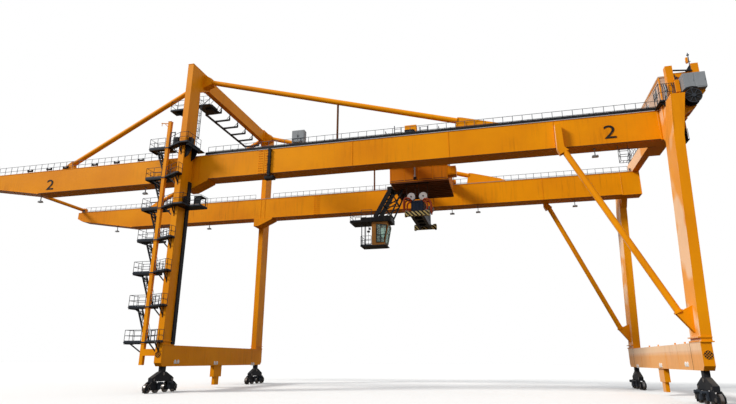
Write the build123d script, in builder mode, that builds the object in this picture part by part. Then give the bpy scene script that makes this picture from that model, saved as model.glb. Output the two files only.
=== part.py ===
from build123d import *
import math
import os

os.makedirs("parts", exist_ok=True)

# Rail-mounted gantry crane, a scale model at 1:2: each size is half of the real crane's, in millimetres.
# X runs along the girders and Y along the crane's rails. The origin lies on the left rail, midway
# between the near frame (low Y) and the far frame (high Y), at the top of the rail.

# Driving sizes of the main steelwork
span = 21550
girder_y = 3860
girder_width = 780
girder_depth = 1300
girder_bottom = 10050
left_tip_x = -13850
right_end_reach = 1130
taper_x = -9300
tip_cut = 400
tip_depth = 440
tip_cut_depth = 645
flange_thickness = 22
flange_lip = 15
collar_length = 40
end_joint_reach = 170
splice_x = 4080

left_leg_width = 310
left_leg_depth = 850
pylon_top = 16250
right_leg_width = 350
right_leg_depth = 1090
right_leg_gap = 350
right_leg_head_width = 500
right_leg_head_shift = 140
leg_lean = 0.04
leg_flange = 40
leg_flange_lip = 45

sill_bottom = 1100
sill_height = 925
sill_width = 350
sill_chamfer = 150

# Places worked out from the driving sizes
right_end_x = span + right_end_reach
end_joint_x = span + end_joint_reach
girder_top = girder_bottom + girder_depth
web_y = girder_y + girder_width / 2
inner_web_y = girder_y - girder_width / 2
left_leg_y = web_y + left_leg_depth / 2
left_leg_outer_y = web_y + left_leg_depth
right_leg_inner_y = web_y + right_leg_gap
right_leg_y = right_leg_inner_y + right_leg_depth / 2
right_leg_outer_y = right_leg_inner_y + right_leg_depth
sill_top = sill_bottom + sill_height
leg_foot = sill_top + leg_flange
sides = {"near": -1, "far": 1}


def leg_axis_x(z):
    return span + leg_lean * (z - sill_bottom)


# Main girders: welded boxes with flange lips, a tapered cantilever tip and bolted collars
for name, side in sides.items():
    with BuildPart() as girder:
        with BuildSketch(Plane.XZ.offset(-side * girder_y)):
            with BuildLine():
                Polyline(
                    (left_tip_x, girder_top - flange_thickness),
                    (right_end_x, girder_top - flange_thickness),
                    (right_end_x, girder_bottom),
                    (taper_x, girder_bottom),
                    (left_tip_x + tip_cut, girder_top - tip_cut_depth),
                    (left_tip_x, girder_top - tip_depth),
                    close=True,
                )
            make_face()
        extrude(amount=girder_width / 2 - flange_lip, both=True)
        # top flange
        with BuildSketch(Plane.XZ.offset(-side * girder_y)):
            with Locations(((left_tip_x + right_end_x) / 2, girder_top - flange_thickness / 2)):
                Rectangle(right_end_x - left_tip_x, flange_thickness)
        extrude(amount=girder_width / 2, both=True)
        # bottom flange, which follows the taper
        with BuildSketch(Plane.XZ.offset(-side * girder_y)):
            with BuildLine():
                Polyline(
                    (right_end_x, girder_bottom),
                    (taper_x, girder_bottom),
                    (left_tip_x + tip_cut, girder_top - tip_cut_depth),
                    (left_tip_x, girder_top - tip_depth),
                    (left_tip_x, girder_top - tip_depth + flange_thickness),
                    (left_tip_x + tip_cut, girder_top - tip_cut_depth + flange_thickness),
                    (taper_x, girder_bottom + flange_thickness),
                    (right_end_x, girder_bottom + flange_thickness),
                    close=True,
                )
            make_face()
        extrude(amount=girder_width / 2, both=True)
        for collar_x in (splice_x, end_joint_x):
            with BuildSketch(Plane.XZ.offset(-side * girder_y)):
                with Locations((collar_x, (girder_bottom + girder_top) / 2)):
                    Rectangle(collar_length, girder_depth)
            extrude(amount=girder_width / 2, both=True)
        # end plate
        with BuildSketch(Plane.XZ.offset(-side * girder_y)):
            with Locations((right_end_x - flange_thickness / 2, (girder_bottom + girder_top) / 2)):
                Rectangle(flange_thickness, girder_depth)
        extrude(amount=girder_width / 2, both=True)
    girder.part.label = f"girder_{name}"
    export_step(girder.part, f"parts/girder_{name}.step")


# Left legs, which run on up as pylons past the girders; each has a girder seat and a pylon head
seat_depth = 470
seat_haunch_end = 1080
beam_drop = 75
beam_height = 725
head_inner_y = 3450
head_haunch = 450
beam_top = pylon_top - beam_drop
beam_bottom = beam_top - beam_height

for name, side in sides.items():
    with BuildPart() as left_leg:
        with BuildSketch(Plane.XY.offset(leg_foot)):
            with Locations((0, side * left_leg_y)):
                Rectangle(left_leg_width, left_leg_depth)
        extrude(amount=pylon_top - leg_foot)
        # foot flange, which overhangs away from the girder's side only
        with BuildSketch(Plane.XY.offset(sill_top)):
            with Locations((0, side * left_leg_y)):
                Rectangle(left_leg_width + 2 * leg_flange_lip, left_leg_depth)
        extrude(amount=leg_flange)
        # seat under the girder, with its haunch on the right
        with BuildSketch(Plane.XZ.offset(-side * girder_y)):
            with BuildLine():
                Polyline(
                    (-left_leg_width / 2, girder_bottom),
                    (-left_leg_width / 2, girder_bottom - seat_depth),
                    (left_leg_width / 2, girder_bottom - seat_depth),
                    (seat_haunch_end, girder_bottom - 60),
                    (seat_haunch_end, girder_bottom),
                    close=True,
                )
            make_face()
        extrude(amount=girder_width / 2, both=True)
        # head, which reaches in over the girder to the crossbeam
        with BuildSketch(Plane.YZ.offset(-left_leg_width / 2)):
            with BuildLine():
                Polyline(
                    (side * web_y, pylon_top),
                    (side * head_inner_y, pylon_top),
                    (side * head_inner_y, beam_bottom),
                    (side * web_y, beam_bottom - head_haunch),
                    close=True,
                )
            make_face()
        extrude(amount=left_leg_width)
    left_leg.part.label = f"left_leg_{name}"
    export_step(left_leg.part, f"parts/left_leg_{name}.step")

# Crossbeam between the pylon heads, with a bolting flange at each end
with BuildPart() as pylon_crossbeam:
    with BuildSketch(Plane.XZ.offset(-head_inner_y)):
        with Locations((0, (beam_top + beam_bottom) / 2)):
            Rectangle(left_leg_width - 20, beam_height)
    extrude(amount=2 * head_inner_y)
    for side in sides.values():
        with BuildSketch(Plane.XZ.offset(-side * (head_inner_y - 15))):
            with Locations((0, (beam_top + beam_bottom) / 2)):
                Rectangle(left_leg_width + 40, beam_height + 60)
        extrude(amount=15, both=True)
pylon_crossbeam.part.label = "pylon_crossbeam"
export_step(pylon_crossbeam.part, "parts/pylon_crossbeam.step")


# Right legs lean out to the right, widen at the head and reach in to the girder's web
leg_head_bottom = 9600
head_bracket_outer = 9640

for name, side in sides.items():
    with BuildPart() as right_leg:
        with BuildSketch(Plane.XY.offset(leg_foot)):
            with Locations((leg_axis_x(leg_foot), side * right_leg_y)):
                Rectangle(right_leg_width, right_leg_depth)
        with BuildSketch(Plane.XY.offset(leg_head_bottom)):
            with Locations((leg_axis_x(leg_head_bottom), side * right_leg_y)):
                Rectangle(right_leg_width, right_leg_depth)
        loft()
        with BuildSketch(Plane.XY.offset(leg_head_bottom)):
            with Locations((leg_axis_x(leg_head_bottom), side * right_leg_y)):
                Rectangle(right_leg_width, right_leg_depth)
        with BuildSketch(Plane.XY.offset(girder_top)):
            with Locations((leg_axis_x(girder_top) + right_leg_head_shift, side * right_leg_y)):
                Rectangle(right_leg_head_width, right_leg_depth)
        loft()
        with BuildSketch(Plane.XY.offset(sill_top)):
            with Locations((leg_axis_x(sill_top), side * right_leg_y)):
                Rectangle(right_leg_width + 2 * leg_flange_lip, right_leg_depth + 2 * leg_flange_lip)
        extrude(amount=leg_flange)
        # bracket from the leg's inner face to the girder's web
        bracket_x = leg_axis_x(leg_head_bottom) - right_leg_width / 2 + 70
        with BuildSketch(Plane.YZ.offset(bracket_x)):
            with BuildLine():
                Polyline(
                    (side * (right_leg_inner_y + 60), girder_top),
                    (side * web_y, girder_top),
                    (side * web_y, girder_bottom),
                    (side * right_leg_inner_y, head_bracket_outer),
                    (side * (right_leg_inner_y + 60), head_bracket_outer),
                    close=True,
                )
            make_face()
        extrude(amount=right_leg_width - 50)
    right_leg.part.label = f"right_leg_{name}"
    export_step(right_leg.part, f"parts/right_leg_{name}.step")


# Sill beams along the rails, chamfered below at both ends, with lifting lugs on the right one
lug_rows = (-3450, -2200, 300, 1850)

with BuildPart() as sill_left:
    with BuildSketch(Plane.YZ.offset(-sill_width / 2)):
        with Locations((0, (sill_bottom + sill_top) / 2)):
            Rectangle(2 * left_leg_outer_y, sill_height)
    extrude(amount=sill_width)
    low_ends = sill_left.edges().filter_by(Axis.X).group_by(Axis.Z)[0]
    chamfer(low_ends, sill_chamfer)
sill_left.part.label = "sill_left"
export_step(sill_left.part, "parts/sill_left.step")

with BuildPart() as sill_right:
    with BuildSketch(Plane.YZ.offset(span - sill_width / 2)):
        with Locations((0, (sill_bottom + sill_top) / 2)):
            Rectangle(2 * right_leg_outer_y, sill_height)
    extrude(amount=sill_width)
    low_ends = sill_right.edges().filter_by(Axis.X).group_by(Axis.Z)[0]
    chamfer(low_ends, sill_chamfer)
    for lug_y in lug_rows:
        with BuildSketch(Plane.YZ.offset(span - 20)):
            with Locations((lug_y, sill_top + 40)):
                Rectangle(110, 80)
            with Locations((lug_y, sill_top + 45)):
                Circle(22, mode=Mode.SUBTRACT)
        extrude(amount=40)
sill_right.part.label = "sill_right"
export_step(sill_right.part, "parts/sill_right.step")


# Struts from the girders' outer webs down to the right legs
strut_radius = 125
strut_top_inset = 3650
strut_top_x = span - strut_top_inset
strut_top_y = web_y + 155
strut_top_z = 9900
strut_foot_inset = 525
strut_foot_x = span - strut_foot_inset
strut_foot_z = 3085
strut_plate_width = 250
strut_plate_height = 1000
strut_plate_stand = 290
foot_plate_low_z = 2350
foot_plate_high_z = 3300

with BuildPart() as leg_struts:
    for side in sides.values():
        top = Vector(strut_top_x, side * strut_top_y, strut_top_z)
        foot = Vector(strut_foot_x, side * right_leg_y, strut_foot_z)
        run = foot - top
        run_dir = run.normalized()
        with BuildSketch(Plane(origin=top, z_dir=run_dir)):
            Circle(strut_radius)
        extrude(amount=run.length)
        with BuildSketch(Plane(origin=foot, z_dir=run_dir)):
            Circle(strut_radius + 35)
        extrude(amount=35, both=True)
        # plate that stands on the girder's web and takes the strut's top
        with BuildSketch(Plane.XZ.offset(-side * web_y)):
            with BuildLine():
                Polyline(
                    (strut_top_x - 140 - strut_plate_width / 2, girder_bottom - 120),
                    (strut_top_x - 140 - strut_plate_width / 2, girder_bottom + strut_plate_height),
                    (strut_top_x - 140 + strut_plate_width / 2, girder_bottom + strut_plate_height),
                    (strut_top_x - 140 + strut_plate_width / 2 + 40, girder_bottom - 40),
                    (strut_top_x + 190, strut_top_z - 60),
                    (strut_top_x - 160, strut_top_z - 220),
                    close=True,
                )
            make_face()
        extrude(amount=-side * strut_plate_stand)
        # foot plate to the leg's left face
        low_x = leg_axis_x(foot_plate_low_z) - right_leg_width / 2
        high_x = leg_axis_x(foot_plate_high_z) - right_leg_width / 2
        with BuildSketch(Plane.XZ.offset(-side * right_leg_y)):
            with BuildLine():
                Polyline(
                    (strut_foot_x - 114, strut_foot_z - 52),
                    (strut_foot_x + 114, strut_foot_z + 52),
                    (high_x, foot_plate_high_z),
                    (low_x, foot_plate_low_z),
                    close=True,
                )
            make_face()
        extrude(amount=110, both=True)
leg_struts.part.label = "leg_struts"
export_step(leg_struts.part, "parts/leg_struts.step")


# Stays from the pylon heads to the girders, each with a wedge plate on the girder's top
stay_radius = 130
left_root_drop = 560
right_root_drop = 402
left_stay_end_x = -7580
right_stay_end_x = 13500
left_end_rise = 427
right_end_rise = 641
anchor_length = 455
face_x = left_leg_width / 2
left_root_z = pylon_top - left_root_drop
right_root_z = pylon_top - right_root_drop
left_stay_slope = (left_root_z - girder_top - left_end_rise) / (-face_x - left_stay_end_x)
right_stay_slope = (right_root_z - girder_top - right_end_rise) / (right_stay_end_x - face_x)


def right_stay_z(x):
    return right_root_z - right_stay_slope * (x - face_x)


def left_stay_z(x):
    return left_root_z - left_stay_slope * (-face_x - x)


with BuildPart() as stays_left:
    for side in sides.values():
        root = Vector(-face_x, side * girder_y, left_root_z)
        end = Vector(left_stay_end_x, side * girder_y, left_stay_z(left_stay_end_x))
        direction = (end - root).normalized()
        with BuildSketch(Plane(origin=end, z_dir=direction)):
            Circle(stay_radius)
        extrude(amount=-((end - root).length + stay_radius))
        split(bisect_by=Plane(origin=(-face_x, 0, 0), z_dir=(-1, 0, 0)), keep=Keep.TOP)
        with BuildSketch(Plane(origin=end, z_dir=direction)):
            Circle(stay_radius + 40)
        extrude(amount=30)
        with BuildSketch(Plane.XZ.offset(-side * girder_y)):
            with BuildLine():
                Polyline(
                    (end.X + 70, end.Z - 150),
                    (end.X - 70, end.Z + 120),
                    (end.X - 750, girder_top + 60),
                    (end.X - 850, girder_top),
                    (end.X + 150, girder_top),
                    (end.X + 150, girder_top + 90),
                    close=True,
                )
            make_face()
        extrude(amount=stay_radius - 10, both=True)
stays_left.part.label = "stays_left"
export_step(stays_left.part, "parts/stays_left.step")

with BuildPart() as stays_right:
    for side in sides.values():
        root = Vector(face_x, side * girder_y, right_root_z)
        end = Vector(right_stay_end_x, side * girder_y, right_stay_z(right_stay_end_x))
        direction = (end - root).normalized()
        with BuildSketch(Plane(origin=end, z_dir=direction)):
            Circle(stay_radius)
        extrude(amount=-((end - root).length + stay_radius))
        split(bisect_by=Plane(origin=(face_x, 0, 0), z_dir=(1, 0, 0)), keep=Keep.TOP)
        with BuildSketch(Plane(origin=end, z_dir=direction)):
            Circle(stay_radius + 40)
        extrude(amount=30)
        with BuildSketch(Plane.XZ.offset(-side * girder_y)):
            with BuildLine():
                Polyline(
                    (end.X - 35, end.Z - 160),
                    (end.X + 40, end.Z + 130),
                    (end.X + 240, end.Z + 95),
                    (end.X + 1340, end.Z - 215),
                    (end.X + 1800, end.Z - 340),
                    (end.X + 2400, girder_top),
                    (end.X - 120, girder_top),
                    close=True,
                )
            make_face()
        extrude(amount=stay_radius - 10, both=True)
        # wedge that anchors the stay on the pylon head
        anchor_x = face_x + anchor_length
        with BuildSketch(Plane.XZ.offset(-side * girder_y)):
            with BuildLine():
                Polyline(
                    (face_x, root.Z + 320),
                    (anchor_x, right_stay_z(anchor_x) + stay_radius + 45),
                    (anchor_x, right_stay_z(anchor_x) - stay_radius - 45),
                    (face_x, root.Z - 480),
                    close=True,
                )
            make_face()
        extrude(amount=stay_radius + 60, both=True)
stays_right.part.label = "stays_right"
export_step(stays_right.part, "parts/stays_right.step")


# Hanger posts from the girders' tops to the right stays
hanger_x = 7720
hanger_radius = 50
hanger_clearance = 0.3

hanger_cosine = 1 / math.hypot(1, right_stay_slope)
hanger_top_z = right_stay_z(hanger_x) - (stay_radius + hanger_clearance) / hanger_cosine

with BuildPart() as stay_hangers:
    for side in sides.values():
        with BuildSketch(Plane.XY.offset(girder_top)):
            with Locations((hanger_x, side * girder_y)):
                Circle(hanger_radius)
        extrude(amount=hanger_top_z - girder_top + 60)
    split(
        bisect_by=Plane(origin=(hanger_x, 0, hanger_top_z), z_dir=(right_stay_slope, 0, 1)),
        keep=Keep.BOTTOM,
    )
    with BuildSketch(Plane.XY.offset(girder_top)):
        for side in sides.values():
            with Locations((hanger_x, side * girder_y)):
                Rectangle(220, 220)
    extrude(amount=20)
stay_hangers.part.label = "stay_hangers"
export_step(stay_hangers.part, "parts/stay_hangers.step")


# Tie across the two cantilever tips, on a short post at each end
tie_radius = 110
tie_x = left_tip_x + 140
tie_z = girder_top + 260

with BuildPart() as tip_tie:
    with BuildSketch(Plane.XZ.offset(-girder_y)):
        with Locations((tie_x, tie_z)):
            Circle(tie_radius)
    extrude(amount=2 * girder_y)
    for side in sides.values():
        with BuildSketch(Plane.XY.offset(girder_top)):
            with Locations((tie_x, side * girder_y)):
                Rectangle(2 * tie_radius, 300)
        extrude(amount=tie_z - girder_top + tie_radius + 20)
tip_tie.part.label = "tip_tie"
export_step(tip_tie.part, "parts/tip_tie.step")


# Crossbeam on the girders' right ends
end_beam_width = 350
end_beam_height = 600
end_beam_x = right_end_x - end_beam_width / 2

house_left_y = -3130
house_right_y = 1250
house_depth = 850
house_top = 13450
house_roof = 60

with BuildPart() as right_crossbeam:
    with BuildSketch(Plane.XZ.offset(-web_y)):
        with Locations((end_beam_x, girder_top + end_beam_height / 2)):
            Rectangle(end_beam_width, end_beam_height)
    extrude(amount=2 * web_y)
    # deck frame that carries the right half of the machine house
    with BuildSketch(Plane.XY.offset(girder_top)):
        with Locations((right_end_x + (house_depth - end_beam_width) / 2, (house_left_y + house_right_y) / 2)):
            Rectangle(house_depth - end_beam_width, house_right_y - house_left_y)
    extrude(amount=end_beam_height)
right_crossbeam.part.label = "right_crossbeam"
export_step(right_crossbeam.part, "parts/right_crossbeam.step")

# Machine house on the crossbeam
with BuildPart() as machine_house:
    with BuildSketch(Plane.XY.offset(girder_top + end_beam_height)):
        with Locations((right_end_x - end_beam_width + house_depth / 2, (house_left_y + house_right_y) / 2)):
            Rectangle(house_depth, house_right_y - house_left_y)
    extrude(amount=house_top - house_roof - girder_top - end_beam_height)
    with BuildSketch(Plane.XY.offset(house_top - house_roof)):
        with Locations((right_end_x - end_beam_width + house_depth / 2, (house_left_y + house_right_y) / 2)):
            Rectangle(house_depth + 60, house_right_y - house_left_y + 60)
    extrude(amount=house_roof)
machine_house.part.label = "machine_house"
export_step(machine_house.part, "parts/machine_house.step")


# Deck, posts and beam on the near right leg's head, with the cabinet and reel in front of them
head_left_x = leg_axis_x(girder_top) + right_leg_head_shift - right_leg_head_width / 2
head_right_x = head_left_x + right_leg_head_width
head_deck_reach = 1705
head_deck_end_x = span + head_deck_reach
head_deck_outer_y = -5200
head_deck_inner_y = -4300
head_deck_top = 11620
post_size = 260
post_y = -4850
post_top = 12940
left_post_shift = 328
left_post_x = head_left_x + left_post_shift
right_post_x = head_deck_end_x - post_size / 2
bracket_foot_z = 10475
bracket_plate = 60


def leg_head_face_x(z):
    low_x = leg_axis_x(leg_head_bottom) + right_leg_width / 2
    return low_x + (head_right_x - low_x) * (z - leg_head_bottom) / (girder_top - leg_head_bottom)


with BuildPart() as head_deck:
    # tapered box that leans out from the leg's right face
    with BuildSketch(Plane.XZ.offset(-head_deck_inner_y)):
        with BuildLine():
            Polyline(
                (head_right_x, head_deck_top),
                (head_deck_end_x, head_deck_top),
                (head_deck_end_x, head_deck_top - 60),
                (head_deck_end_x - 360, head_deck_top - 385),
                (head_deck_end_x - 410, head_deck_top - 660),
                (leg_head_face_x(head_deck_top - 660), head_deck_top - 660),
                (head_right_x, girder_top),
                close=True,
            )
        make_face()
    extrude(amount=head_deck_inner_y - head_deck_outer_y)
    # brackets under the box
    for bracket_y in (head_deck_outer_y, head_deck_inner_y - bracket_plate):
        with BuildSketch(Plane.XZ.offset(-bracket_y)):
            with BuildLine():
                Polyline(
                    (leg_head_face_x(head_deck_top - 660), head_deck_top - 660),
                    (head_deck_end_x - 410, head_deck_top - 660),
                    (leg_head_face_x(bracket_foot_z), bracket_foot_z),
                    close=True,
                )
            make_face()
        extrude(amount=-bracket_plate)
head_deck.part.label = "head_deck"
export_step(head_deck.part, "parts/head_deck.step")

with BuildPart() as head_portal:
    for post_x, post_foot in ((left_post_x, girder_top), (right_post_x, head_deck_top)):
        with BuildSketch(Plane.XY.offset(post_foot)):
            with Locations((post_x, post_y)):
                Rectangle(post_size, post_size)
        extrude(amount=post_top - post_foot)
    with BuildSketch(Plane.YZ.offset(left_post_x)):
        with Locations((post_y, post_top - 430)):
            Rectangle(160, 200)
    extrude(amount=right_post_x - left_post_x)
head_portal.part.label = "head_portal"
export_step(head_portal.part, "parts/head_portal.step")

reel_radius = 300
reel_inset = 590
reel_x = head_deck_end_x - reel_inset
reel_z = 11225
reel_y = head_deck_outer_y - 230

with BuildPart() as cable_reel:
    for disc_y in (reel_y - 150, reel_y + 150):
        with BuildSketch(Plane.XZ.offset(-disc_y)):
            with Locations((reel_x, reel_z)):
                Circle(reel_radius)
        extrude(amount=12, both=True)
    with BuildSketch(Plane.XZ.offset(-reel_y)):
        with Locations((reel_x, reel_z)):
            Circle(reel_radius - 110)
    extrude(amount=150, both=True)
    with BuildSketch(Plane.XZ.offset(-head_deck_outer_y)):
        with Locations((reel_x, reel_z)):
            Circle(60)
    extrude(amount=230)
cable_reel.part.label = "cable_reel"
export_step(cable_reel.part, "parts/cable_reel.step")

cabinet_left_x = head_right_x + 100
cabinet_height = 660
cabinet_depth = 440
cabinet_front_y = head_deck_outer_y - 250
with BuildPart() as reel_cabinet:
    with BuildSketch(Plane.XY.offset(head_deck_top)):
        with Locations(((cabinet_left_x + head_deck_end_x) / 2, cabinet_front_y + cabinet_depth / 2)):
            Rectangle(head_deck_end_x - cabinet_left_x, cabinet_depth)
    extrude(amount=cabinet_height)
reel_cabinet.part.label = "reel_cabinet"
export_step(reel_cabinet.part, "parts/reel_cabinet.step")


# Travel bogies under the sills' ends: an equalizer with two bogies of two wheels at each corner
wheel_radius = 200
wheel_width = 100
wheel_gap = 600
bogie_gap = 1300
axle_radius = 45
side_plate = 30
bogie_width = 260
bogie_top = 470
equalizer_top = 880

corners = [(0, side * left_leg_y) for side in (-1, 1)] + [(span, side * right_leg_y) for side in (-1, 1)]

with BuildPart() as travel_bogies:
    for corner_x, corner_y in corners:
        # equalizer beam with its pivot block under the sill
        with BuildSketch(Plane.YZ.offset(corner_x - 100)):
            with BuildLine():
                Polyline(
                    (corner_y - bogie_gap / 2 - 130, bogie_top),
                    (corner_y + bogie_gap / 2 + 130, bogie_top),
                    (corner_y + bogie_gap / 2 + 130, bogie_top + 150),
                    (corner_y + 200, equalizer_top),
                    (corner_y - 200, equalizer_top),
                    (corner_y - bogie_gap / 2 - 130, bogie_top + 150),
                    close=True,
                )
            make_face()
        extrude(amount=200)
        with BuildSketch(Plane.XY.offset(equalizer_top)):
            with Locations((corner_x, corner_y)):
                Rectangle(200, 260)
        extrude(amount=sill_bottom - equalizer_top)
        for bogie_y in (corner_y - bogie_gap / 2, corner_y + bogie_gap / 2):
            # side plates with axle holes, closed on top
            for plate_x in (corner_x - bogie_width / 2, corner_x + bogie_width / 2 - side_plate):
                with BuildSketch(Plane.YZ.offset(plate_x)):
                    with BuildLine():
                        Polyline(
                            (bogie_y - wheel_gap / 2 - 130, 120),
                            (bogie_y + wheel_gap / 2 + 130, 120),
                            (bogie_y + wheel_gap / 2 + 130, 290),
                            (bogie_y + 150, bogie_top),
                            (bogie_y - 150, bogie_top),
                            (bogie_y - wheel_gap / 2 - 130, 290),
                            close=True,
                        )
                    make_face()
                    with Locations((bogie_y - wheel_gap / 2, wheel_radius), (bogie_y + wheel_gap / 2, wheel_radius)):
                        Circle(axle_radius + 0.3, mode=Mode.SUBTRACT)
                extrude(amount=side_plate)
            with BuildSketch(Plane.XY.offset(bogie_top - 40)):
                with Locations((corner_x, bogie_y)):
                    Rectangle(bogie_width - 2 * side_plate, 300)
            extrude(amount=40)
travel_bogies.part.label = "travel_bogies"
export_step(travel_bogies.part, "parts/travel_bogies.step")

with BuildPart() as travel_wheels:
    for corner_x, corner_y in corners:
        for bogie_y in (corner_y - bogie_gap / 2, corner_y + bogie_gap / 2):
            for wheel_y in (bogie_y - wheel_gap / 2, bogie_y + wheel_gap / 2):
                with BuildSketch(Plane.YZ.offset(corner_x)):
                    with Locations((wheel_y, wheel_radius)):
                        Circle(wheel_radius)
                extrude(amount=wheel_width / 2, both=True)
                with BuildSketch(Plane.YZ.offset(corner_x)):
                    with Locations((wheel_y, wheel_radius)):
                        Circle(axle_radius)
                extrude(amount=bogie_width / 2 + 12, both=True)
travel_wheels.part.label = "travel_wheels"
export_step(travel_wheels.part, "parts/travel_wheels.step")

# Rail clamp housings under the middle of both sills
with BuildPart() as rail_clamps:
    for clamp_x in (0, span):
        with BuildSketch(Plane.XY.offset(sill_bottom)):
            with Locations((clamp_x, 0)):
                Rectangle(220, 780)
        extrude(amount=-560)
        with BuildSketch(Plane.XY.offset(sill_bottom - 560)):
            with Locations((clamp_x, 0)):
                Rectangle(160, 420)
        extrude(amount=-400)
rail_clamps.part.label = "rail_clamps"
export_step(rail_clamps.part, "parts/rail_clamps.step")


# Trolley rails on the inner edges of the girders' tops
rail_y = 3560
rail_height = 60
rail_width = 40
rail_start = left_tip_x + 350
rail_end = right_end_x - end_beam_width - 100

with BuildPart() as trolley_rails:
    for side in sides.values():
        with BuildSketch(Plane.YZ.offset(rail_start)):
            with Locations((side * rail_y, girder_top + rail_height / 2)):
                Rectangle(rail_width, rail_height)
        extrude(amount=rail_end - rail_start)
        for stop_x in (rail_start - 60, rail_end):
            with BuildSketch(Plane.YZ.offset(stop_x)):
                with Locations((side * rail_y, girder_top + 110)):
                    Rectangle(120, 220)
            extrude(amount=60)
trolley_rails.part.label = "trolley_rails"
export_step(trolley_rails.part, "parts/trolley_rails.step")


# Handrails along the girders' tops, inside the cable tray's edge
guard_height = 550
guard_step = 900
guard_bar = 22
tray_start = 820
tray_height = 150
tray_width = 190
guard_y = web_y - tray_width - 25
guard_spans = ((left_tip_x + 60, -400), (tray_start, right_end_x - end_beam_width - 60))

with BuildPart() as girder_handrails:
    for side in sides.values():
        for first_x, last_x in guard_spans:
            bays = round((last_x - first_x) / guard_step)
            for rail_z in (guard_height, guard_height / 2):
                with BuildSketch(Plane.YZ.offset(first_x)):
                    with Locations((side * guard_y, girder_top + rail_z - guard_bar / 2)):
                        Rectangle(guard_bar, guard_bar)
                extrude(amount=last_x - first_x)
            with BuildSketch(Plane.XY.offset(girder_top)):
                for bay in range(bays + 1):
                    post_at = first_x + guard_bar / 2 + bay * (last_x - first_x - guard_bar) / bays
                    with Locations((post_at, side * guard_y)):
                        Rectangle(guard_bar, guard_bar)
            extrude(amount=guard_height)
girder_handrails.part.label = "girder_handrails"
export_step(girder_handrails.part, "parts/girder_handrails.step")


# Stair tower beside the near left leg: a column, landings with a stairwell, and steep flights
landing_pitch = 1585
landing_top = 11675
landing_count = 7
landing_left_x = -1970
landing_right_x = -830
landing_outer_y = -5000
landing_inner_y = -4300
landing_thickness = 60
column_size = 170
column_top = 13100
column_foot = 1150
column_bracket = 300
flight_width = 320
flight_top_x = -1690
flight_foot_x = -1090
stairwell_end_x = -1230
tread_count = 8
tread_depth = 110
tread_thickness = 16
stringer_thickness = 20
stringer_height = 90
landing_levels = [landing_top - level * landing_pitch for level in range(landing_count)]
column_x = landing_right_x - 120
column_y = landing_outer_y + 100
flight_y = landing_inner_y - flight_width / 2 - 20

with BuildPart() as stair_column:
    with BuildSketch(Plane.XY.offset(column_foot)):
        with Locations((column_x, column_y)):
            Rectangle(column_size, column_size)
    extrude(amount=column_top - column_foot)
    # foot bracket to the left sill
    with BuildSketch(Plane.YZ.offset(column_x + column_size / 2)):
        with Locations((column_y, sill_bottom + 2 * column_bracket)):
            Rectangle(column_size, column_bracket)
    extrude(amount=-sill_width / 2 - column_x - column_size / 2)
stair_column.part.label = "stair_column"
export_step(stair_column.part, "parts/stair_column.step")

with BuildPart() as stair_landings:
    for level in landing_levels:
        with BuildSketch(Plane.XY.offset(level - landing_thickness)):
            with Locations(((landing_left_x + landing_right_x) / 2, (landing_outer_y + landing_inner_y) / 2)):
                Rectangle(landing_right_x - landing_left_x, landing_inner_y - landing_outer_y)
            # stairwell over the flight that comes up here
            with Locations(((flight_top_x + stairwell_end_x) / 2, flight_y)):
                Rectangle(stairwell_end_x - flight_top_x, flight_width, mode=Mode.SUBTRACT)
            # notch for the column
            with Locations((column_x, column_y)):
                Rectangle(column_size, column_size, mode=Mode.SUBTRACT)
        extrude(amount=landing_thickness)
stair_landings.part.label = "stair_landings"
export_step(stair_landings.part, "parts/stair_landings.step")

# stringers stand between a landing and the underside of the one above
with BuildPart() as stair_stringers:
    for level in landing_levels[:-1]:
        low = level - landing_pitch
        for stringer_y in (flight_y - flight_width / 2, flight_y + flight_width / 2 - stringer_thickness):
            with BuildSketch(Plane.XZ.offset(-stringer_y)):
                with BuildLine():
                    Polyline(
                        (flight_top_x, level),
                        (flight_top_x, level - 2 * stringer_height),
                        (flight_foot_x - stringer_height / 2, low),
                        (flight_foot_x + stringer_height / 2, low),
                        (flight_top_x + stringer_height / 3, level),
                        close=True,
                    )
                make_face()
            extrude(amount=-stringer_thickness)
stair_stringers.part.label = "stair_stringers"
export_step(stair_stringers.part, "parts/stair_stringers.step")

with BuildPart() as stair_treads:
    for level in landing_levels[:-1]:
        for step in range(1, tread_count + 1):
            share = step / (tread_count + 1)
            tread_x = flight_top_x + share * (flight_foot_x - flight_top_x)
            with BuildSketch(Plane.XY.offset(level - share * landing_pitch - tread_thickness)):
                with Locations((tread_x, flight_y)):
                    Rectangle(tread_depth, flight_width - 2 * stringer_thickness)
            extrude(amount=tread_thickness)
stair_treads.part.label = "stair_treads"
export_step(stair_treads.part, "parts/stair_treads.step")


# Gangways that bend round the near left leg from the landings, as far as the right end given for each
platform_thickness = 40
leg_near_y = -left_leg_outer_y
leg_left_x = -left_leg_width / 2
leg_right_x = left_leg_width / 2
gangway_outer_y = leg_near_y - 350
gangway_inner_y = -4650
gangway_bend_x = 60
gangway_ends = (530, 200, 615, 200, 200, 200, 200)
balcony_outer_y = -4890
balcony_end_x = 1240
wrap_levels = (0, 2)
rest_platform_drop = 2590
rest_platform_z = pylon_top - rest_platform_drop
rest_bracket_drop = 360

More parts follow.
